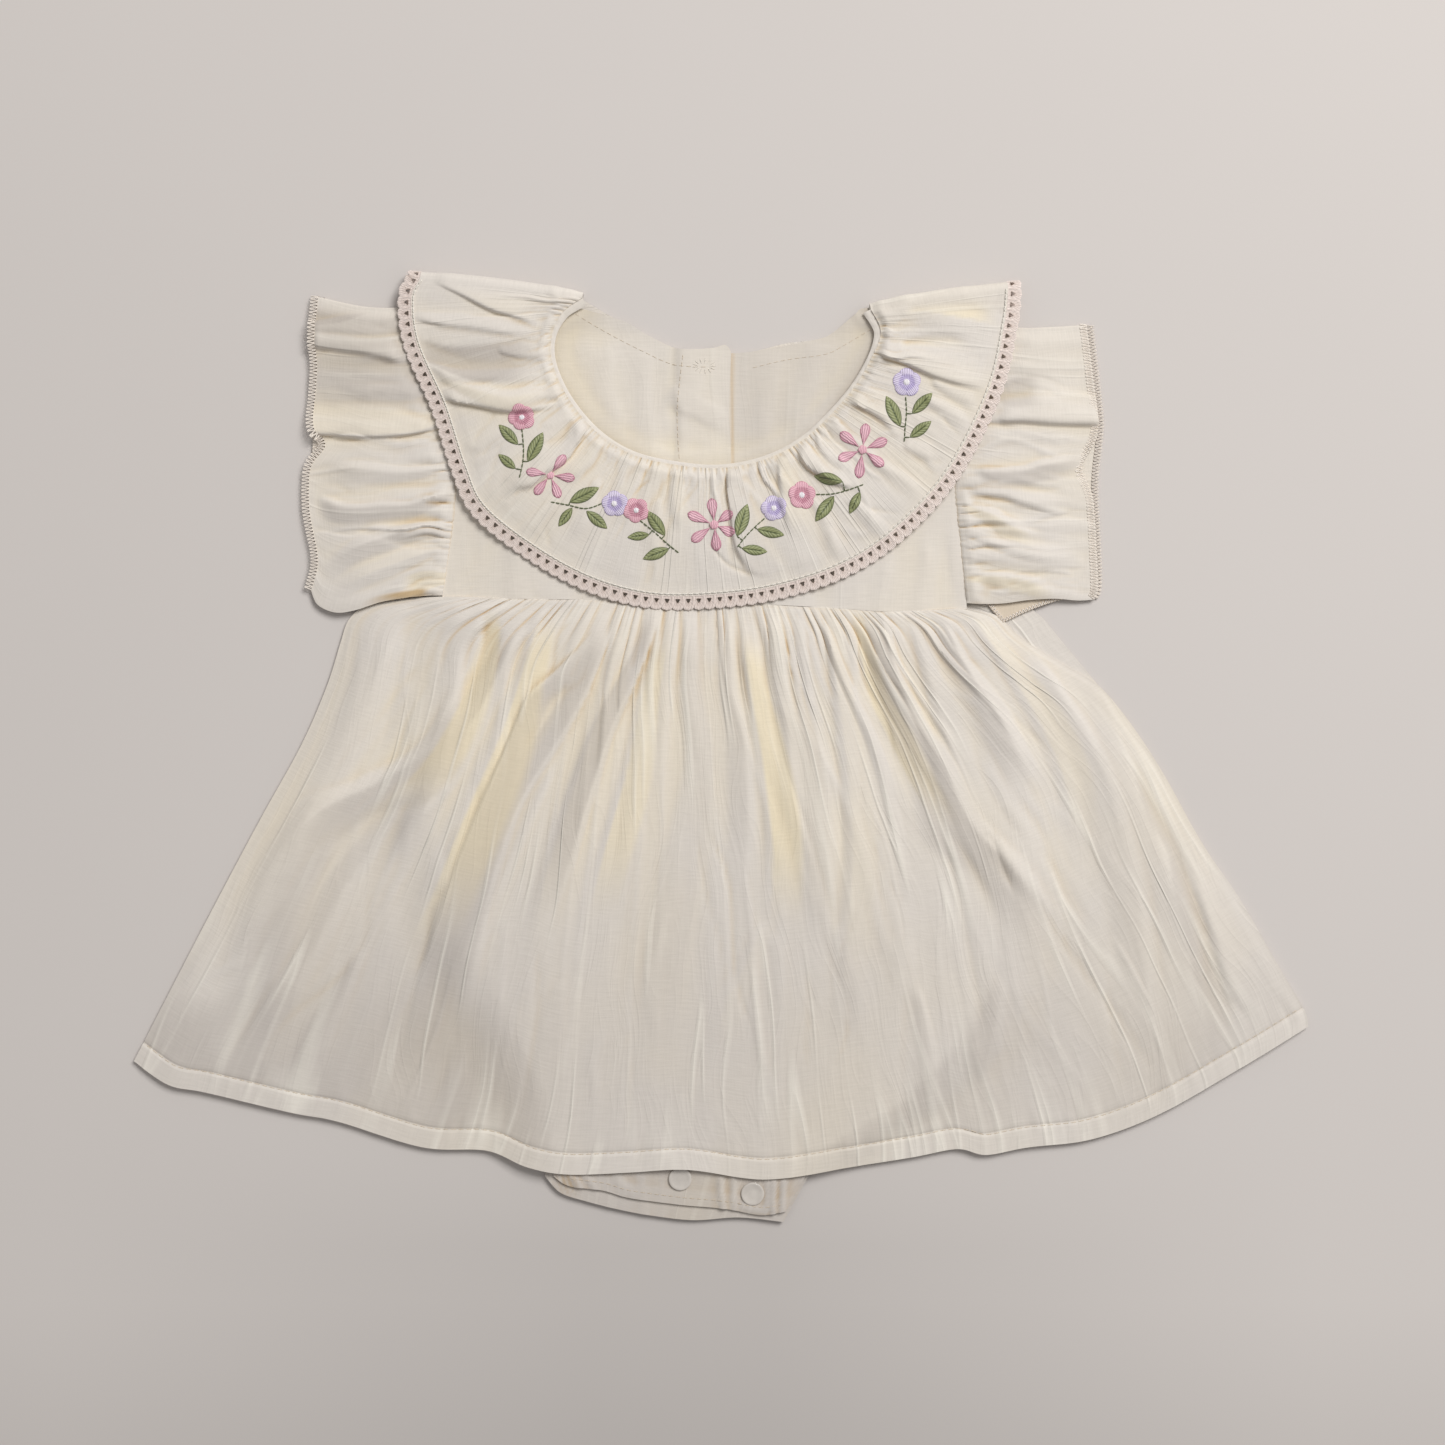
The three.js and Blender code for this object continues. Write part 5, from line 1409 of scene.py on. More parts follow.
@dataclass
class Ruffle:
    """The wide collar: gathered to the neck, folded over the shoulders, and plain behind."""

    gathers: Gathers = field(default_factory=lambda: Gathers(GATHERS["neck"], 2))
    per_pleat: int = 8
    rows: int = 78
    length: float = 900.0
    width: float = 62.0
    roll: Sequence[int] = range(15, 91, 15)  # angles of the fold over the shoulder, degrees
    folds: tuple[Fold, ...] = (
        Fold((-81.5, 212, -76, 204.3, -71.5, 196.2), 2, 1.4, 1.3),
        Fold((-74.3, 215.1, -71.5, 207.5, -69.3, 200.7), 2, 1.4, 1.2),
        Fold((-127.4, 207.9, -114.8, 202.5, -101.2, 196.2, -88.7, 192.6, -77.4, 187.2), 1.5, 9, 2.4, 0.25, 1.2),
        Fold((-138.2, 191.7, -126.5, 189.9, -108.5, 187.7, -94, 185.8, -77.9, 186.8), 1.5, 5, 1.6, 0, 0.8),
        Fold((-135.5, 178.2, -122, 172.8, -108.5, 171, -95, 171.9, -79.2, 175.1), 8, 8, -2.4, -0.8),
        Fold((-99.5, 176.8, -88.2, 175.5, -75.6, 175.1), 2, 4, 1, 0, 0.5),
        Fold((-131, 170.1, -117.5, 165.6, -104, 164.2, -88.7, 164.7, -73.4, 167), 3, 4, 1.8),
        Fold((-128.2, 166.5, -114.8, 161.1, -99.5, 156.6, -88.7, 156.6, -72.9, 160.7), 4, 3, 2, 0.3),
        Fold((-125.5, 156.6, -108.5, 153.9, -95.9, 151.7, -86.9, 152.1, -76, 153.9, -69.8, 158), 2, 8, 3.2, 0, 1.5),
        Fold((-59.9, 144.9, -65.2, 135.9, -69.8, 129.6, -77.9, 124.2, -85, 118.8, -92.2, 116.1,
              -98.5, 110.7), 2, 8, 3, 0, 1.4),
        Fold((-52.6, 137.7, -58.1, 128.7, -63.5, 122.4, -67, 116.1), 7, 2, 1.8, 0.2),
        Fold((-33.8, 128.2, -37.4, 119.7, -41, 111.6, -43.6, 97.2), 5, 2.5, 1.6, 0.2),
        Fold((-19.4, 124.2, -20.7, 114.3, -19.8, 103.5, -17.6, 95), 2.5, 5, 1.3, 0.2),
        Fold((-4, 124.2, -2.2, 110.7, -0.5, 92.7, -2.2, 77), 3, 5, 0.9),
        Fold((3.6, 124.2, 5, 112, 6.4, 103.5, 8, 91.8, 11.2, 84.6, 15.2, 77.9, 19.8, 69.3), 1.8, 10, 2.6, -0.2, 1.3),
        Fold((24.8, 131, 27, 123.8, 27.9, 116.5, 31.1, 99.9, 34.6, 91.8), 2, 7, 1.8, 0.3, 0.6),
        Fold((33.3, 133.2, 39.6, 126, 44.6, 123.3, 52.6, 119.2, 61.6, 116.5), 2, 8, 3.2, 0, 1.5),
        Fold((41.4, 140.8, 44.6, 134.1, 50.4, 128.7, 58.1, 125.1), 2, 5, 1.6, 0, 0.5),
        Fold((48.6, 97.2, 51.3, 89.1, 53.6, 81), 3, 4, 0.9),
        Fold((56.2, 155.2, 68, 150.3, 74.7, 145.3, 81, 137.7), 1.4, 7, 2.2, 0.2, 1),
        Fold((81.9, 134.1, 89.5, 131, 96.8, 126.5), 2, 4, 1.2),
        Fold((68.4, 176, 81.9, 172.8, 95.9, 167, 107.5, 163.8, 122, 160.7), 2, 9, 3, 0, 1.5),
        Fold((80.1, 180, 90, 180.9, 101.7, 181.3, 113, 179.6), 3, 3, -1.2),
        Fold((86, 205.2, 82.4, 198, 74.7, 190.8), 3, 5, 1.8, 0, 0.6),
        Fold((82.8, 195.3, 94, 197.6, 112, 196.2, 125.5, 192.6), 5, 5, -1.8, 0.8),
        Fold((108.5, 204.3, 118.8, 202.1, 130.1, 198), 5, 5, -1.4, -0.5),
        Fold((94, 162.5, 106.7, 156.6, 116.5, 152.1), 3, 5, 1.2),
        Fold((90.5, 155.7, 103, 149, 113, 143.1), 4, 3, 1.3),
        Fold((64.4, 131, 80.5, 119.7, 94, 110.7), 4, 3, 1.2),
        Fold((58.1, 110.7, 71.5, 97.2, 78.8, 89.1), 4, 3, 1.2),
        Fold((41, 110.7, 47.2, 99, 50.9, 83.7), 3, 4, 1.2),
        Fold((-27.4, 110.7, -29.2, 97.2, -31.9, 83.7), 4, 3, 1.1),
        Fold((-54.5, 119.7, -61.2, 101.7, -65.7, 90.5), 4, 3, 1.2),
        Fold((-72.5, 110.7, -86, 97.2, -95, 90.5), 4, 3, 1.2),
        Fold((-85, 146.7, -99.5, 137.7, -116.5, 130.5), 3, 4, 1),
    )

    def base(self, v: Array) -> Array:
        """Height of the ruffle before its folds, mm."""
        return mix(HEIGHTS["collar_neck"], HEIGHTS["collar_edge"], smooth(v * 1.4))

    def surface(self) -> Surface:
        """Shape the front, with its rolled ends.

        Returns:
            Its points, its place on the uncut cloth, and its marks.
        """
        u, v = self.gathers.columns(self.per_pleat), np.linspace(0, 1, self.rows) ** 1.1
        uu, vv = np.meshgrid(u, v)
        neck, rim = Line(NECK_FRONT), Line(COLLAR_EDGE)
        plan = mix(neck.at(u)[None], rim.at(u)[None], v[:, None, None])
        x, y = plan[..., 0], plan[..., 1]
        end = off_ends(uu, 0.03)
        puff = mix(1.2, 2.6, np.sin(math.pi * np.minimum(1, vv * 1.1))) * mix(0.15, 1, smooth(vv / 0.08))
        gather = self.gathers.drape(uu, vv, 0.3, 1.45, 0.42, 0.5, 0.15)
        long, fold_warm_light, fold_cool_shade, lean = lay_folds(self.folds, x, y)
        folds = 0.85 * long * mix(0.4, 1, end) * smooth(vv / 0.1)
        small = scattered(neck, rim, 46, 33, (0.2, 0.6), (1.0, 2.4), 0.6)
        folds += fold_height(small, x, y) * smooth(vv / 0.1) * (1 - smooth((vv - 0.86) / 0.1))
        drift = 1.2 * wander(uu * 4, vv * 1.5, 61)
        soft = 0.6 * wander(uu * 18 + drift, vv * 1.4, 62) + 0.2 * wander(uu * 44 + drift, vv * 2.2, 63)
        lift = np.maximum(0, puff + folds + soft * smooth(vv / 0.1) * (0.5 + 0.5 * end)) + gather
        lift = mix(lift, np.maximum(lift, 0.4) * 0.55, smooth((vv - 0.86) / 0.14))
        lean *= (smooth(vv / 0.15) * (1 - smooth((vv - 0.85) / 0.15)) * end)[..., None]
        top = np.dstack([plan + lean, self.base(vv) + lift])
        columns = [
            rolled_end(top[:, k], self.over_shoulder(t), HEIGHTS["back_collar"], self.roll)
            for k, t in ((0, 0), (-1, 1))
        ]
        points = np.concatenate([columns[0][:, ::-1], top, columns[1]], 1)
        n, step = len(self.roll), 1.8
        wide = np.r_[-np.arange(n, 0, -1) * step, u * self.length, self.length + np.arange(1, n + 1) * step]
        cut = np.stack(np.meshgrid(wide, v * self.width), -1)
        z = top[..., 2]
        # Painted shade in narrow folds, painted warm light and shade in wide folds and creamy bands, and painted shade
        # on cool bands.
        marks = {
            "valley": valley_mark(z, 0.8, 2) * (1 - 0.7 * smooth((vv - 0.2) / 0.3)),
            "warm_tint_and_painted_light": np.clip(fold_warm_light + 0.7 * valley_mark(z, 1.8, 7), 0, 1),
            "painted_shade": fold_cool_shade,
        }
        return points, cut, {key: np.pad(mark * end, ((0, 0), (n, n))) for key, mark in marks.items()}

    def over_shoulder(self, end: float) -> Array:
        """Direction past the fold at one end of the front: 0 is the left end, 1 the right."""
        d = Line(COLLAR_EDGE).at(end) - Line(NECK_FRONT).at(end)
        d /= np.linalg.norm(d)
        return np.array([-d[1], d[0]]) * (-1 if d[0] < 0 else 1)

    def back(self, name: str, neck: Points, edge: Points, top: Array) -> tuple[Piece, Array]:
        """One plain half behind.

        Args:
            name: Its name.
            neck: Its inner edge, from the shoulder to the centre.
            edge: Its outer edge, from the shoulder to the centre.
            top: Heights of the front's end above this one's shoulder edge, for each row.

        Returns:
            The half, and its outer edge as rows of x, y and z, mm.
        """
        rows = len(top)
        u, v = np.linspace(0, 1, 60), np.linspace(0, 1, rows) ** 1.1
        plan = mix(Line(neck).at(u)[None], Line(edge).at(u)[None], v[:, None, None])
        flat = np.dstack([plan, np.full(plan.shape[:2], HEIGHTS["back_collar"])])
        out = self.over_shoulder(0 if neck[0][0] < 0 else 1)
        roll = rolled_end(flat[:, 0], out, top, (80, 65, 50, 35, 20), upward=True)
        points = np.concatenate([roll, flat], 1)
        cut = np.stack(np.meshgrid(np.arange(points.shape[1]) * 4.0, v * self.width), -1)
        if neck[0][0] > 0:
            points, cut = points[:, ::-1], cut[:, ::-1]
        return lay_cloth(name, points, cut), (points[-1] if neck[0][0] < 0 else points[-1, ::-1])

    def build(self) -> Piece:
        """Make and dress the front, both back halves, the crochet edging and its stitches.

        Returns:
            The front.
        """
        points, cut, marks = self.surface()
        front = lay_cloth("ruffle_front", points, cut, marks)
        dress(front, Finish.RUFFLE, "cotton", "collar_front")
        n = len(self.roll)
        sides = {
            "left": (NECK_BACK_LEFT, RUFFLE_BACK_LEFT, points[:, n, 2], 1),
            "right": (NECK_BACK_RIGHT, RUFFLE_BACK_RIGHT, points[:, -n - 1, 2], -1),
        }
        for side, (neck, edge, top, right) in sides.items():
            half, rim = self.back(f"ruffle_back_{side}", neck, edge, top)
            dress(half, Finish.RUFFLE, "cotton", f"collar_back_{side}")
            lace = Crochet(fine=13).build(f"crochet_back_{side}", rim, right)
            dress(lace, Finish.CROCHET, "lace", f"lace_back_{side}")
        lace = dress(Crochet().build("crochet_front", points[-1], 1, 0.13), Finish.CROCHET, "lace", "lace_front")
        row = stitch_row("ruffle_edge_stitches", Ground(front), Line(COLLAR_EDGE), -1.0, 2.6, 0.06, 0.36, 0.12)
        dress(row, Finish.SEWING, "cotton")
        return front


@dataclass
class Crochet:
    """Scalloped edging: a band with a triangular hole above each knotted scallop."""

    pitch: float = 4.65
    width: float = 6.2
    dip: float = 1.2
    hole: float = 0.76
    hole_place: float = 2.15
    thick: float = 0.36
    picots: int = 3
    fine: int = 19  # points along a scallop

    def rim(self) -> Array:
        """Outline of one repeat, clockwise from its upper left corner, mm."""
        p, w = self.pitch, self.width
        t = np.linspace(0, 1, self.fine)
        knots = 0.3 * np.abs(np.sin(self.picots * math.pi * t))
        scallop = -(w - self.dip) - self.dip * np.sin(math.pi * t) ** 0.6 - knots
        top = [(p * k / 6, 0.0) for k in range(6)]
        right = [(p, -k * (w - self.dip) / 5) for k in range(5)]
        low = list(zip(p * (1 - t), scallop))
        left = [(0.0, -(w - self.dip) * (5 - k) / 5) for k in range(1, 5)]
        return np.array(top + right + low + left)

    def opening(self, rim: Array) -> Array:
        """Outline of the triangular hole, with a point for each one of the rim."""
        middle = np.array([self.pitch / 2, -self.hole_place])
        angle = np.arctan2(rim[:, 1] - middle[1], rim[:, 0] - middle[0])
        from_side = (angle - math.pi / 2 + math.pi / 3) % (2 * math.pi / 3) - math.pi / 3
        reach = np.minimum(self.hole / np.cos(from_side), 1.6 * self.hole)
        return middle + np.column_stack([np.cos(angle), np.sin(angle)]) * reach[:, None]

    def unit(self) -> Piece:
        """One repeat: a plate of rings of points from the rim to the hole, with a cord along both."""
        rim = self.rim()
        hole, count = self.opening(rim), len(rim)
        clear_selection()
        bpy.ops.mesh.primitive_circle_add(vertices=count, radius=MM, fill_type="NGON")
        unit = bpy.context.object
        bpy.ops.object.mode_set(mode="EDIT")
        bpy.ops.mesh.select_all(action="SELECT")
        for _ in range(5):
            bpy.ops.mesh.inset(thickness=0.15 * MM)
        bpy.ops.mesh.delete(type="FACE")
        bpy.ops.object.mode_set(mode="OBJECT")
        place = coordinates(unit) / MM
        order = np.rint(np.arctan2(place[:, 0], place[:, 1]) / (2 * math.pi) * count).astype(int) % count
        ring = np.rint((1 - np.hypot(place[:, 0], place[:, 1])) / 0.15).astype(int)
        flat = mix(rim[order], hole[order], np.array([0, 0.12, 0.34, 0.62, 0.82, 1.0])[ring][:, None])
        crown = np.array([0, 0.24, 0, -0.02, 0.1, 0.05])[ring] + 0.08 * np.sin(order * 2.1) * (ring > 0)
        move_to(unit, np.column_stack([flat, crown]) * MM)
        spread_on_cloth(unit, flat)
        # The tone is darkest at the hole's edge: painted shade of the shadowed cloth seen through the hole.
        mark_points(unit, "tone", np.array([0.1, 0.0, 0.15, 0.15, 0.2, 0.6])[ring] + 0.2 * np.sin(order * 2.1) ** 2)
        finish_with(unit, "SOLIDIFY", thickness=self.thick * MM, offset=0.0)
        return unit

    def build(self, name: str, rim: Array, right: int, droop: float = 0.0) -> Piece:
        """Run the edging along the rim of a ruffle.

        Args:
            name: The edging's name.
            rim: Points of the cloth's edge, rows of x, y and z, mm.
            right: 1 if the outside lies to the right of the walk along them, -1 if to the left.
            droop: How steeply it hangs outwards.

        Returns:
            The edging.
        """
        ahead = np.gradient(rim, axis=0)
        flat = ahead * (1, 1, 0)
        length = np.linalg.norm(flat, axis=1)
        steady = np.where((length > 0.25 * np.linalg.norm(ahead, axis=1))[:, None], flat, 0)
        if right < 0:
            rim, steady = rim[::-1], -steady[::-1]
        side = np.column_stack([steady[:, 1], -steady[:, 0], np.zeros(len(rim))])
        good = np.linalg.norm(side, axis=1) > 0
        index = np.arange(len(rim))
        side = np.stack([np.interp(index, index[good], side[good, k]) for k in range(3)], -1)
        side /= np.linalg.norm(side, axis=1, keepdims=True)
        side = np.stack([blur(side[:, k : k + 1], 3, 0)[:, 0] for k in range(3)], -1) - (0, 0, droop)
        side /= np.linalg.norm(side, axis=1, keepdims=True)
        level = blur(rim[:, 2:3], 2, 0)
        trail = Trail(np.column_stack([rim[:, :2] - side[:, :2] * 0.2, level]), side)
        return repeat_along(name, self.unit(), self.pitch, trail, weld=True)


@dataclass
class NeckBinding:
    """A narrow strip that binds the front neck edge, wider where it turns over the shoulders."""

    width: float = 1.2
    at_shoulder: float = 3.2

    def build(self) -> None:
        """Make and dress the strip."""
        u, t = np.linspace(0, 1, 260), np.linspace(0, 1, 9)
        wide = mix(self.at_shoulder, self.width, off_ends(u, 0.12))
        line = Line(NECK_FRONT)
        rows = []
        for share in t:
            far = share * (wide + 0.8) - 0.5
            place = line.shifted(u, -far)
            crown = 0.28 * math.sqrt(max(0.0, 1 - (2 * share - 1) ** 2)) + 0.14 * wander(u * 130, share * 3, 81)
            rows.append(np.column_stack([place, HEIGHTS["collar_neck"] - 0.45 * share + crown]))
        points = np.stack(rows[::-1])
        cut = np.stack(np.meshgrid(u * 270, t * 4), -1)
        strip = lay_cloth("neck_binding_strip", points, cut, thick=0.7)
        dress(strip, Finish.PLAIN, "cotton", "neck_binding")


# ---------------------------------------------------------------- sleeves
@dataclass
class Sleeve:
    """A flutter sleeve: one strip, gathered into the armhole and folded over the shoulder."""

    side: str
    top: Points
    outer: Points
    bottom: Points
    armhole: Points
    folds: tuple[Fold, ...]
    seed: int
    facing: int
    corner: float
    underarm: float
    recess: tuple[float, float, float]
    # Share of painted shade laid over the sleeve's upper part.
    shaded: float = 0.0
    per_pleat: int = 8
    rows: int = 60
    front_cloth: float = 150.0
    turn: float = 12.0
    back_cloth: float = 135.0
    width: float = 70.0

    def place(self, u: Array, v: Array) -> Array:
        """Points on the plan, with u down the seam and v out from it."""
        seam_line = Line([*self.armhole[:-1], self.bottom[0]])
        seam = seam_line.at(u) - np.array([self.facing * 0.45, 0])
        outer, top, bottom = Line(self.outer), Line(self.top), Line(self.bottom)
        out, down = v[:, None, None], u[None, :, None]
        ruled = mix(seam[None], outer.at(u)[None], out)
        first, last = mix(seam[0], outer.at(0), v[:, None]), mix(seam[-1], outer.at(1), v[:, None])
        pull_top = (top.at(v) - first)[:, None] * (1 - down) ** 4
        pull_bottom = (bottom.at(v) - last)[:, None] * down**4
        return ruled + pull_top + pull_bottom

    def level(self, v: Array) -> Array:
        """Height of the back layer, mm."""
        return mix(HEIGHTS["back_bodice"], FLOOR, smooth((v - 0.6) / 0.35))

    def surface(self) -> Surface:
        """Shape the strip: the front layer, the roll over the shoulder and the back layer.

        Returns:
            Its points, its place on the uncut cloth, and its marks.
        """
        gathers = Gathers(GATHERS["armhole"], self.seed)
        u, v = gathers.columns(self.per_pleat), np.r_[-0.022, np.linspace(0, 1, self.rows)]
        uu, vv = np.meshgrid(u, v)
        plan = self.place(u, v)
        middle, half, depth = self.recess
        pulled = depth * np.exp(-(((plan[..., 1] - middle) / half) ** 2)) * smooth((vv - 0.55) / 0.45)
        plan = plan + np.dstack([self.facing * pulled, 0 * pulled])
        x, y = plan[..., 0], plan[..., 1]
        end = smooth(uu / 0.06) * smooth((1.03 - uu) / 0.06)
        gather = gathers.drape(uu, vv, 0.4, 1.7, 0.5, 0.4, 0.12)
        puff = 1.3 * np.sin(math.pi * np.minimum(1, 0.15 + vv * 0.8)) * end
        seam, rim = Line([*self.armhole[:-1], self.bottom[0]]), Line(self.outer)
        small = scattered(seam, rim, 26, self.seed + 50, (0.25, 0.8), (1.0, 2.6), 0.7)
        long, fold_warm_light, fold_cool_shade, lean = lay_folds(self.folds, x, y)
        folds = (long + fold_height(small, x, y)) * end * smooth(vv / 0.25)
        drift = 0.8 * wander(uu * 4, vv * 1.5, self.seed + 90)
        soft = 0.6 * wander(uu * 11 + drift, vv * 1.3, self.seed + 91)
        soft += 0.2 * wander(uu * 30 + drift, vv * 2.0, self.seed + 92)
        lift = np.maximum(0, puff + gather * end + folds + soft * smooth(vv / 0.15) * end)
        lift = lift - 1.0 * smooth(-vv / 0.022) - 0.3 * np.exp(-((vv / 0.02) ** 2))
        covered = smooth((self.inside_ruffle(x, y) + 13) / 6)
        room = HEIGHTS["under_collar"] - LAYER - self.level(vv)
        z = self.level(vv) + LAYER + mix(lift, room * (1 - np.exp(-lift / room)), covered)
        front = np.dstack([plan + lean * (smooth(vv / 0.3) * end * (1 - covered))[..., None], z])
        roll = rolled_end(front[:, 0], np.array([0, 1.0]), self.level(v), range(20, 180, 20))
        back_u = np.linspace(0, 1, 50)
        low = self.place(back_u, v)
        b, w = back_u[None], v[:, None]
        corner = w * smooth(b / 0.1) * (1 - smooth((b - 0.1) / 0.3)) * self.corner
        wedge = np.clip(np.minimum((w - 0.14) / 0.15, (0.86 - w) / 0.57), 0, 1)
        under = wedge * smooth((b - 0.7) / 0.3) * self.underarm
        flat = self.level(w) + 0 * b
        back = np.stack([low[..., 0] + self.facing * (1.2 * w * b - corner), low[..., 1] + 1.5 * b - under, flat], -1)
        points = np.concatenate([front[:, ::-1], roll, back], 1)
        front_end, back_start = self.front_cloth, self.front_cloth + self.turn
        wide = np.r_[
            (1 - u[::-1]) * front_end, front_end + np.arange(1, 9) * 1.2, back_start + back_u * self.back_cloth
        ]
        cut = np.stack(np.meshgrid(wide, v * self.width), -1)
        # Painted tan shade in the opening at the lower end of the left sleeve, by the armhole.
        underside_shade = 1.5 * smooth((uu - 0.972) / 0.016) * smooth((vv - 0.08) / 0.08) * smooth((0.6 - vv) / 0.35)
        # Painted shade in narrow folds and that opening, painted warm light and shade in wide folds and creamy bands,
        # and painted shade on cool bands and over the upper part.
        marks = {
            "valley": valley_mark(z, 0.8, 2) * (1 - 0.7 * smooth((vv - 0.2) / 0.3)) + underside_shade * (self.facing > 0),
            "warm_tint_and_painted_light": np.clip(fold_warm_light + 0.7 * valley_mark(z, 1.8, 7), 0, 1),
            "painted_shade": np.clip(fold_cool_shade + self.shaded * smooth((y - 146) / 14), 0, 1),
        }
        behind = points.shape[1] - len(u)
        marks = {key: np.pad((mark * end)[:, ::-1], ((0, 0), (0, behind))) for key, mark in marks.items()}
        # Painted shade on the back layer's underarm wedge.
        marks["valley"][:, -len(back_u):] = 0.4 * smooth((b - 0.8) / 0.15) * (self.underarm > 0)
        if self.facing < 0:
            points, cut = points[:, ::-1], cut[:, ::-1]
            marks = {key: mark[:, ::-1] for key, mark in marks.items()}
        return points, cut, marks

    def inside_ruffle(self, x: Array, y: Array) -> Array:
        """How far a point lies inside the ruffle's edge, mm, and below 0 outside it."""
        edge = Line(COLLAR_EDGE).at(np.linspace(0, 1, 81))
        a, b = edge[:-1], edge[1:]
        middle = (a + b) / 2
        flat = np.stack([x.ravel(), y.ravel()], -1)
        nearest = np.argmin(np.linalg.norm(flat[:, None] - middle[None], axis=2), axis=1)
        a, b = a[nearest], b[nearest]
        cross = (flat[:, 0] - a[:, 0]) * (b[:, 1] - a[:, 1]) - (flat[:, 1] - a[:, 1]) * (b[:, 0] - a[:, 0])
        return (-cross / np.linalg.norm(b - a, axis=1)).reshape(x.shape)

    def build(self) -> None:
        """Make and dress the sleeve and the overlocked edges of its two layers."""
        points, cut, marks = self.surface()
        sleeve = lay_cloth(f"flutter_sleeve_{self.side}", points, cut, marks)
        dress(sleeve, Finish.RUFFLE, "cotton", f"sleeve_{self.side}")
        edges = [Overlock().build(f"overlock_{self.side}", points[-1], -self.facing)]
        if self.underarm:
            rim = points[:, 0 if self.facing < 0 else -1]
            inside = slice(int(0.14 * len(rim)), int(0.86 * len(rim)))
            edges.append(Overlock(width=1.6).build(f"overlock_underarm_{self.side}", rim[inside], self.facing))
        for edge in edges:
            dress(edge, Finish.OVERLOCK, "cotton")


@dataclass
class Overlock:
    """A dense zigzag of thread wrapped over a raw edge."""

    pitch: float = 1.55
    width: float = 3.2
    radius: float = 0.26

    def build(self, name: str, rim: Array, right: int) -> Piece:
        """Wrap the rim of a sleeve.

        Args:
            name: The edge's name.
            rim: Points of the cloth's edge, rows of x, y and z, mm.
            right: 1 if the cloth lies to the right of the walk along them, -1 if to the left.

        Returns:
            The wrapped edge.
        """
        if right < 0:
            rim = rim[::-1]
        ahead = np.gradient(rim, axis=0)
        ahead /= np.linalg.norm(ahead, axis=1, keepdims=True)
        inward = np.column_stack([ahead[:, 1], -ahead[:, 0], np.zeros(len(rim))])
        inward /= np.maximum(np.linalg.norm(inward, axis=1, keepdims=True), 1e-6)
        inward = np.stack([blur(inward[:, k : k + 1], 2, 0)[:, 0] for k in range(3)], -1)
        trail = Trail(rim, inward)
        p, w, r = self.pitch, self.width, CLOTH / 2 + self.radius * 0.6
        path = [
            (0, 0.15, 0), (p * 0.12, -0.1, r), (p * 0.45, -w, r), (p * 0.62, -w, r), (p * 0.88, -0.1, r), (p, 0.15, 0)
        ]
        return repeat_along(name, thread_piece(path, self.radius, 5), p, trail)


# ---------------------------------------------------------------- embroidery
class Cut(Enum):
    """Outlines of a patch of satin stitches, as the share of the full width at each share of the length."""

    DAISY_PETAL = "daisy"
    ROUND_PETAL = "round"
    LEAF = "leaf"

    def width(self, s: Array) -> Array:
        """The outline's width, from 0 to 1."""
        s = np.clip(s, 0, 1)
        if self is Cut.DAISY_PETAL:
            return np.maximum(np.sin(math.pi * s**1.9), 0) ** 0.62
        if self is Cut.ROUND_PETAL:
            return np.maximum(np.sin(math.pi * (0.04 + 0.96 * s**1.35)), 0.01) ** 0.5
        return np.maximum(np.sin(math.pi * s**0.95), 0) ** 0.85


@dataclass(frozen=True)
class Flower:
    """A small embroidered flower."""

    x: float
    y: float
    radius: float
    petals: int
    finish: Finish
    turn: float = 0.0
    skip: tuple[int, ...] = ()
    short: tuple[tuple[int, float], ...] = ()

    @property
    def round(self) -> bool:
        """True for the small full flowers with a white centre."""
        return self.petals == 5


@dataclass(frozen=True)
class Spray:
    """One sprig: leaves given from base to tip, and the stitched stem that carries them."""

    leaves: tuple[tuple[float, float, float, float], ...]
    stem: Points


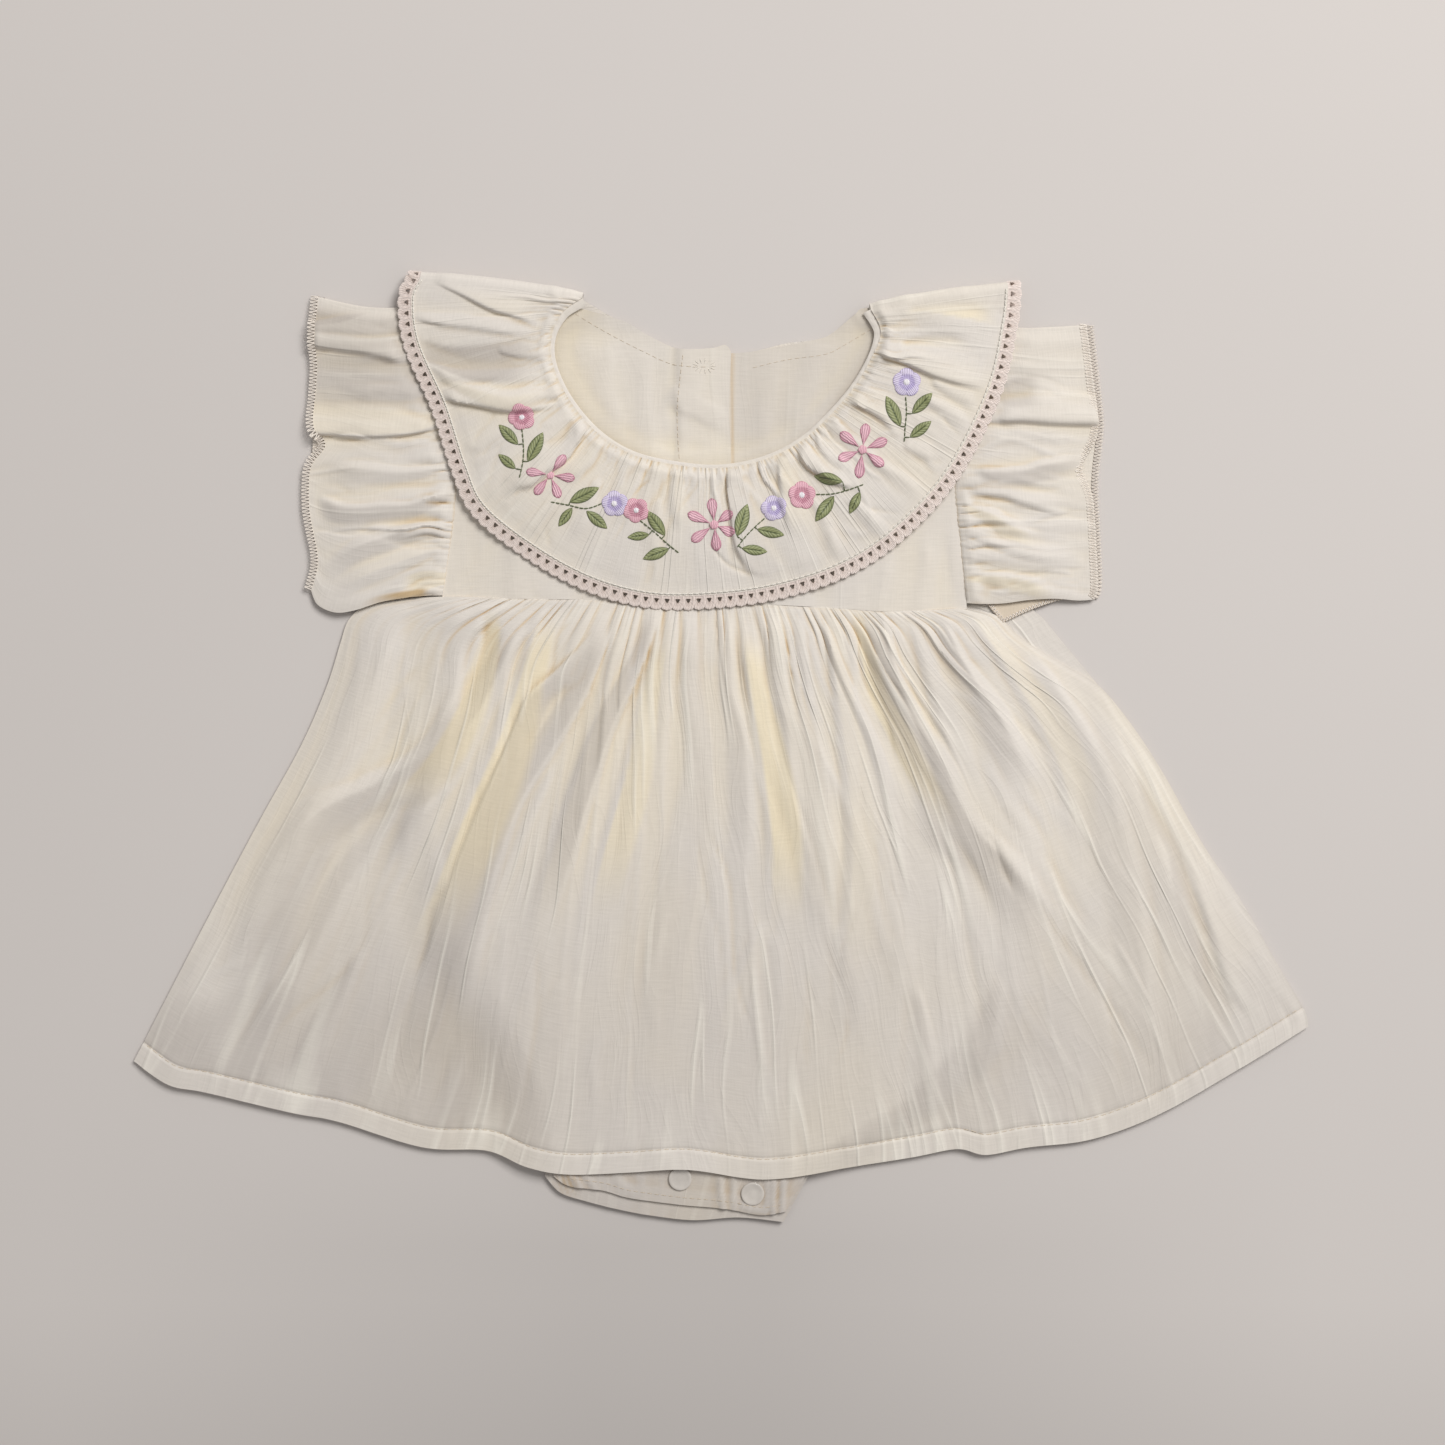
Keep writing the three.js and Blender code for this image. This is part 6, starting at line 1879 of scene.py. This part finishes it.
@dataclass
class Embroidery:
    """Flowers and sprigs in satin stitch round the front of the ruffle."""

    high: float = 0.4
    thick: float = 0.22
    shortest_twig: float = 1.2
    flowers: tuple[Flower, ...] = (
        Flower(-88.8, 146.6, 5.8, 5, Finish.ROSE, 20),
        Flower(-76.2, 121.0, 11.0, 6, Finish.PINK, -38, (1,)),
        Flower(-47.6, 108.2, 5.9, 5, Finish.LAVENDER, 4),
        Flower(-37.8, 105.2, 5.6, 5, Finish.ROSE, 30),
        Flower(-3.0, 98.8, 12.4, 6, Finish.PINK, 6, (), ((4, 0.84), (5, 0.82))),
        Flower(23.6, 106.2, 5.9, 5, Finish.LAVENDER, 15),
        Flower(36.0, 112.0, 6.3, 5, Finish.ROSE, 0),
        Flower(63.2, 132.3, 12.2, 6, Finish.PINK, -8),
        Flower(82.8, 162.4, 6.5, 5, Finish.LAVENDER, 0),
    )
    sprays: tuple[Spray, ...] = (
        Spray(
            ((-90.5, 134.6, -99, 143.4), (-86, 126.9, -79.4, 140), (-91.6, 123.8, -99.2, 130.2)),
            ((-88.8, 142), (-88, 133), (-88.4, 126), (-89.8, 119.6)),
        ),
        Spray(
            ((-67.5, 108.9, -54.4, 115.4), (-66.4, 106.4, -72.4, 98.2), (-59.9, 104.9, -50.8, 97.2)),
            ((-76, 109), (-68, 107.6), (-60, 106), (-53, 108.4)),
        ),
        Spray(
            ((-25, 94.2, -33, 105), (-32, 94.4, -41.6, 93.2), (-23.2, 88.2, -34.8, 83.6)),
            ((-36.4, 101), (-30, 95.8), (-24, 90.5), (-18.8, 86.3)),
        ),
        Spray(
            ((7.2, 93.6, 11.8, 108), (16.2, 96.8, 28.2, 94.2), (9.4, 88.2, 20.6, 86.8)),
            ((7.2, 88.6), (11.5, 94), (16, 98.6), (19.6, 101.8)),
        ),
        Spray(
            ((54.2, 117.8, 41.6, 120.6), (50.4, 111.6, 42.2, 100.4), (62, 113.4, 57.4, 103.8)),
            ((42.3, 112.4), (50, 112.6), (57, 114.4), (63.6, 116.8)),
        ),
        Spray(
            ((80, 142.8, 73.8, 156.2), (85.4, 148.4, 94.2, 157.6), (84.4, 137.8, 93.8, 145)),
            ((82.4, 156), (82.8, 149), (82.2, 142), (81.8, 135.8)),
        ),
    )

    def satin(
        self, ground: Ground, base: Array, tip: Array, width: float, cut: Cut, tone: float, lift: float = 0.12
    ) -> Piece:
        """A raised patch of satin stitches.

        Args:
            ground: What it is sewn on.
            base: One end, mm.
            tip: The other end, mm.
            width: Its greatest width, mm.
            cut: Its outline.
            tone: Its shade, from 0 to 1.
            lift: Its height above the cloth at the edge, mm.

        Returns:
            The patch.
        """
        s, t = np.linspace(0, 1, 17), np.linspace(1, -1, 11)
        ahead = tip - base
        length = float(np.linalg.norm(ahead))
        across = np.array([-ahead[1], ahead[0]]) / length
        half = cut.width(s) * width / 2
        plan = base + ahead * s[None, :, None] + across * (t[:, None] * half[None])[..., None]
        crown = np.sqrt(1 - np.abs(t[:, None]) ** 2.5) * np.clip(np.sin(math.pi * s[None]), 0, 1) ** 0.3
        z = ground.height(plan[..., 0], plan[..., 1]) + lift + self.high * crown
        side, down = t[:, None] * half[None], s[None] * length + 0 * t[:, None]
        rim, heart = np.abs(t[:, None]) ** 3.5, smooth((0.45 - s[None]) / 0.3)
        if cut is Cut.LEAF:
            vein = np.exp(-((t[:, None] / 0.13) ** 2)) * smooth((0.86 - s[None]) / 0.1)
            z = z - 0.3 * vein * crown
            side, down = down * 0.8 - np.abs(side) * 0.9, side
            shade = np.maximum(np.maximum(0.85 * rim, vein), smooth((0.08 - s[None]) / 0.08)) + 0 * z
        elif cut is Cut.ROUND_PETAL:
            star = smooth((0.66 - s[None] - 0.12 * np.abs(t[:, None])) / 0.16)
            star = star * (1 - 0.5 * smooth((0.3 - s[None]) / 0.1))
            z = z - 0.14 * star
            shade = np.clip(0.55 * star + 0.3 * rim + tone + 0.5 * smooth((s[None] - 0.9) / 0.1), 0, 1)
        else:
            shade = np.clip(0.9 * rim + 0.4 * heart + tone + smooth((s[None] - 0.88) / 0.12), 0, 1)
        return woven_grid("satin", np.dstack([plan, z]), np.stack([side, down], -1), {"tone": shade})

    def flower(self, name: str, ground: Ground, flower: Flower) -> Piece:
        """Petals round a centre, each its own patch of stitches."""
        centre, patches = np.array([flower.x, flower.y]), []
        for k in range(flower.petals):
            if k in flower.skip:
                continue
            angle = math.radians(90 + flower.turn + 360 * k / flower.petals)
            out = np.array([math.cos(angle), math.sin(angle)])
            long = flower.radius * (0.94 + 0.12 * float(uneven(k, int(flower.x) + 7))) * dict(flower.short).get(k, 1)
            if flower.round:
                shape, width, start = Cut.ROUND_PETAL, flower.radius * 1.02, 0.0
            else:
                shape, width, start = Cut.DAISY_PETAL, flower.radius * 0.36, 0.17
            tone = 0.15 * float(uneven(k, 3))
            lift = 0.12 + 0.05 * (k % 2)
            base, tip = centre + out * long * start, centre + out * long
            patches.append(self.satin(ground, base, tip, width, shape, tone, lift))
        piece = joined(name, patches)
        finish_with(piece, "SOLIDIFY", thickness=self.thick * MM, offset=0.0)
        return soften(piece, 60)

    def heart(self, name: str, ground: Ground, flower: Flower) -> Piece:
        """The knot in the middle of a flower, a small button of stitches."""
        clear_selection()
        reach, high = (0.22, 0.55) if flower.round else (0.16, 0.5)
        bpy.ops.mesh.primitive_uv_sphere_add(segments=16, ring_count=10, radius=1)
        knot = bpy.context.object
        knot.name = knot.data.name = name
        height = float(ground.height(np.array([flower.x]), np.array([flower.y]))[0]) + 0.45
        round_place = coordinates(knot)
        angle = np.arctan2(round_place[:, 1], round_place[:, 0])
        reach = reach * flower.radius * (1 + 0.08 * np.sin(5 * angle + flower.turn))
        place = round_place * np.column_stack([reach, reach, np.full(len(angle), high)])
        spread_on_cloth(knot, place[:, :2])
        move_to(knot, (place + (flower.x, flower.y, height)) * MM)
        return soften(knot, 60)

    def build(self, cloth: Piece) -> None:
        """Sew every flower and spray onto the ruffle.

        Args:
            cloth: The ruffle's front.
        """
        ground = Ground(cloth)
        for k, flower in enumerate(self.flowers, 1):
            dress(self.flower(f"flower_{k}", ground, flower), flower.finish, "cotton")
            centre = Finish.WHITE if flower.round else Finish.ROSE
            dress(self.heart(f"flower_centre_{k}", ground, flower), centre, "cotton")
        for k, spray in enumerate(self.sprays, 1):
            leaves = [
                self.satin(ground, np.array(leaf[:2]), np.array(leaf[2:]),
                           0.4 * math.dist(leaf[:2], leaf[2:]), Cut.LEAF, 0.0)
                for leaf in spray.leaves
            ]
            piece = joined(f"leaves_{k}", leaves)
            finish_with(piece, "SOLIDIFY", thickness=self.thick * MM, offset=0.0)
            dress(soften(piece, 60), Finish.LEAF, "cotton")
            row = stitch_row(f"stem_{k}", ground, Line(spray.stem), 0, 1.9, 0.35, 0.27, 0.16)
            dress(row, Finish.STEM, "cotton")
            for i, leaf in enumerate(spray.leaves, 1):
                joint = Line([leaf[:2], nearest_on(spray.stem, leaf[:2])])
                if joint.length > self.shortest_twig:
                    twig = stitch_row(f"twig_{k}_{i}", ground, joint, 0, 1.6, 0.3, 0.25, 0.16)
                    dress(twig, Finish.STEM, "cotton")


def nearest_on(points: Points, place: tuple[float, float]) -> tuple[float, float]:
    """The point of a line through some points that lies nearest to a place."""
    samples = Line(points).samples
    k = int(np.argmin(np.linalg.norm(samples - np.array(place), axis=1)))
    return float(samples[k][0]), float(samples[k][1])


# ---------------------------------------------------------------- stage
@dataclass
class Studio:
    """A plain pale board, with painted shade towards the bottom, under soft light, seen from straight above."""

    board: tuple[float, float, float] = (216, 210, 206)
    size: float = 5.0
    height: float = 1.15
    view_width: float = 0.65
    centre: tuple[float, float] = (0.0007, 0.0106)
    window: tuple[float, float, float] = (1.25, 1.5, 2.3)
    window_size: float = 1.35
    window_power: float = 70.0
    fill: float = 0.34
    sensor: float = 36.0

    def floor(self) -> None:
        """Make the board, darker by painted shade over its lower middle and towards its bottom."""
        clear_selection()
        bpy.ops.mesh.primitive_plane_add(size=self.size, location=(0, 0, -0.0004))
        board = bpy.context.object
        bpy.ops.object.transform_apply(location=True, rotation=True, scale=True)
        board.name = "board"
        dye = Dye("pale_board", 0.75, specular_ior_level=0.2)
        x, y, _ = dye.object_place()
        cloud = dye.noise(x * 0.004, y * 0.004, detail=3)
        paint = dye.blend(rgb(*self.board), rgb(*(c * 0.985 for c in self.board)), cloud)
        # Painted shade: a soft shadow over the lower middle of the board, and the whole board darker towards the
        # bottom.
        middle = dye.clamp(x, -300.0, -60.0) * dye.clamp(x, 20.0, 270.0, 1.0, 0.0)
        level = 1.0 - dye.clamp(y, -225.0, -160.0, 0.14, 0.0) * middle
        dye.feed("Base Color", dye.shade(paint, level * dye.clamp(y, -345.0, -250.0, 0.88, 1.0)))
        board.data.materials.append(dye.material)

    def light(self, name: str, place: tuple[float, float, float], size: float, power: float, colour: tuple) -> None:
        """Hang a square soft light that faces the garment."""
        bpy.ops.object.light_add(type="AREA", location=place)
        lamp = bpy.context.object
        lamp.name = name
        lamp.data.size, lamp.data.energy, lamp.data.color = size, power, colour
        lamp.rotation_euler = (Vector((0, 0, 0)) - Vector(place)).to_track_quat("-Z", "Y").to_euler()

    def build(self) -> None:
        """Make the board, the lights and the camera."""
        self.floor()
        self.light("window", self.window, self.window_size, self.window_power, (1.0, 0.993, 0.982))
        world = bpy.data.worlds.new("room")
        bpy.context.scene.world = world
        world.use_nodes = True
        air = world.node_tree.nodes["Background"].inputs
        air["Color"].default_value, air["Strength"].default_value = (1.0, 0.98, 0.965, 1), self.fill
        x, y = self.centre
        bpy.ops.object.camera_add(location=(x, y, self.height), rotation=(0, 0, 0))
        camera = bpy.context.object
        camera.data.sensor_width = self.sensor
        camera.data.lens = self.sensor * self.height / self.view_width
        bpy.context.scene.camera = camera
        bpy.context.scene.view_settings.view_transform = "Standard"


LEFT_SLEEVE = Sleeve(
    side="left",
    top=((-106.3, 199.6), (-125, 197.6), (-142, 196), (-160, 196.4), (-181, 201)),
    outer=((-181, 201), (-182.3, 183), (-181.4, 168), (-184, 137), (-185, 108), (-181, 84), (-184, 70)),
    bottom=((-124.9, 67.7), (-131, 67.6), (-139, 66.9), (-152, 64.8), (-164, 61), (-173, 60), (-181, 63.5), (-184, 70)),
    armhole=ARMHOLE_LEFT,
    folds=(
        Fold((-122, 175.1, -141.3, 174.2, -151.7, 176.4, -162.5, 178.7, -184, 181.5), 2, 9, 2.4, 0, 1.3, 0.05),
        Fold((-121, 144.9, -139.1, 141.8, -151.7, 140.8, -162.5, 140.8, -187, 142.6), 2, 10, 2.6, 0.35, 1.4, 0.05),
        Fold((-118.4, 114.3, -126.5, 111.6, -139.1, 107.5, -151.7, 107.1, -162.5, 106.2, -171.5, 107.1,
              -182.2, 111.2), 6, 2, 2.2, -0.4, 0.6, 0.15),
        Fold((-126.5, 124.2, -144.5, 122.4, -162.5, 124.2, -180.5, 126), 5, 3, 1.4),
        Fold((-119.7, 97.2, -135.5, 97.2, -148.5, 94, -164.2, 88.7, -179.6, 78.8), 6, 3, 2.2, -0.3),
        Fold((-121, 90.5, -140, 83.7, -158, 77, -173.7, 69.3), 4, 5, 1.6, 0.2),
        Fold((-126.5, 160.2, -144.5, 158.4, -167, 159.3), 4, 4, 1),
        Fold((-138, 197, -150, 195.4, -162, 192.5, -172, 190, -186, 187.6), 7, 1.8, 1.5, 0, 0.8, 0.05),
        Fold((-152, 199, -166, 197, -186, 195), 6.5, 6.5, 0.05, -0.9, 0, 0.05),
        Fold((-121, 75.6, -133.2, 73.8, -144.5, 70.2), 4, 4, -1.4, 0.5),
    ),
    seed=3, facing=1, corner=3.5, underarm=0, recess=(135.2, 6.5, 6.5), shaded=0.6,
)
RIGHT_SLEEVE = Sleeve(
    side="right",
    top=((96.3, 195.6), (112, 190.5), (133, 187), (150, 187.4), (164.3, 188.5)),
    outer=((164.3, 188.5), (168.8, 151), (169.2, 140), (167.2, 118), (168.3, 94), (169.2, 71), (167.4, 65.8)),
    bottom=((110.5, 64.2), (120, 63.8), (128, 64.2), (138, 65.6), (150, 66.2), (160, 65.4), (167.4, 65.8)),
    armhole=ARMHOLE_RIGHT,
    folds=(
        Fold((107.5, 146.2, 123.8, 147.2, 135.5, 147.6, 150.3, 146.7, 171, 146.6), 2, 9, 2.4, 0, 1.2, 0.05),
        Fold((118.8, 157.5, 130.1, 158.4, 143.6, 159.3), 6, 6, -1.2, -0.5),
        Fold((113.9, 123.3, 125.5, 122.9, 135.5, 123.3, 145.3, 126, 166.1, 128.7), 6, 2.5, 2.2, -0.5),
        Fold((110.2, 113.4, 125.5, 113.4, 135.5, 110.2, 157.1, 104.9), 2, 5, 1.8, 0, 0.5),
        Fold((107.5, 108.5, 121.5, 103.5, 129.6, 98.5, 143.6, 93.6), 5, 3, 2.2, 0.5),
        Fold((107.5, 96.3, 125.5, 90, 143.6, 85.5, 163.8, 83.7), 3, 5, 1.5),
        Fold((108.5, 83.7, 125.5, 82.8, 143.6, 81, 161.6, 78.3), 4, 3, 1.2, 0.1),
        Fold((108.5, 76.5, 125.5, 75.6, 138.6, 73.4, 152.6, 67.5), 5, 2.5, 2.2, 0.6),
    ),
    seed=4, facing=-1, corner=0, underarm=10, recess=(125.5, 8.5, 5.5),
)


def main() -> None:
    """Build the garment piece by piece, then its stage."""
    logging.basicConfig(level=logging.INFO, format="%(name)s: %(message)s")
    Skirt().build()
    Bloomers().build()
    Bodice().build()
    cloth = Ruffle().build()
    NeckBinding().build()
    LEFT_SLEEVE.build()
    RIGHT_SLEEVE.build()
    Embroidery().build(cloth)
    Studio().build()


if __name__ == "__main__":
    main()
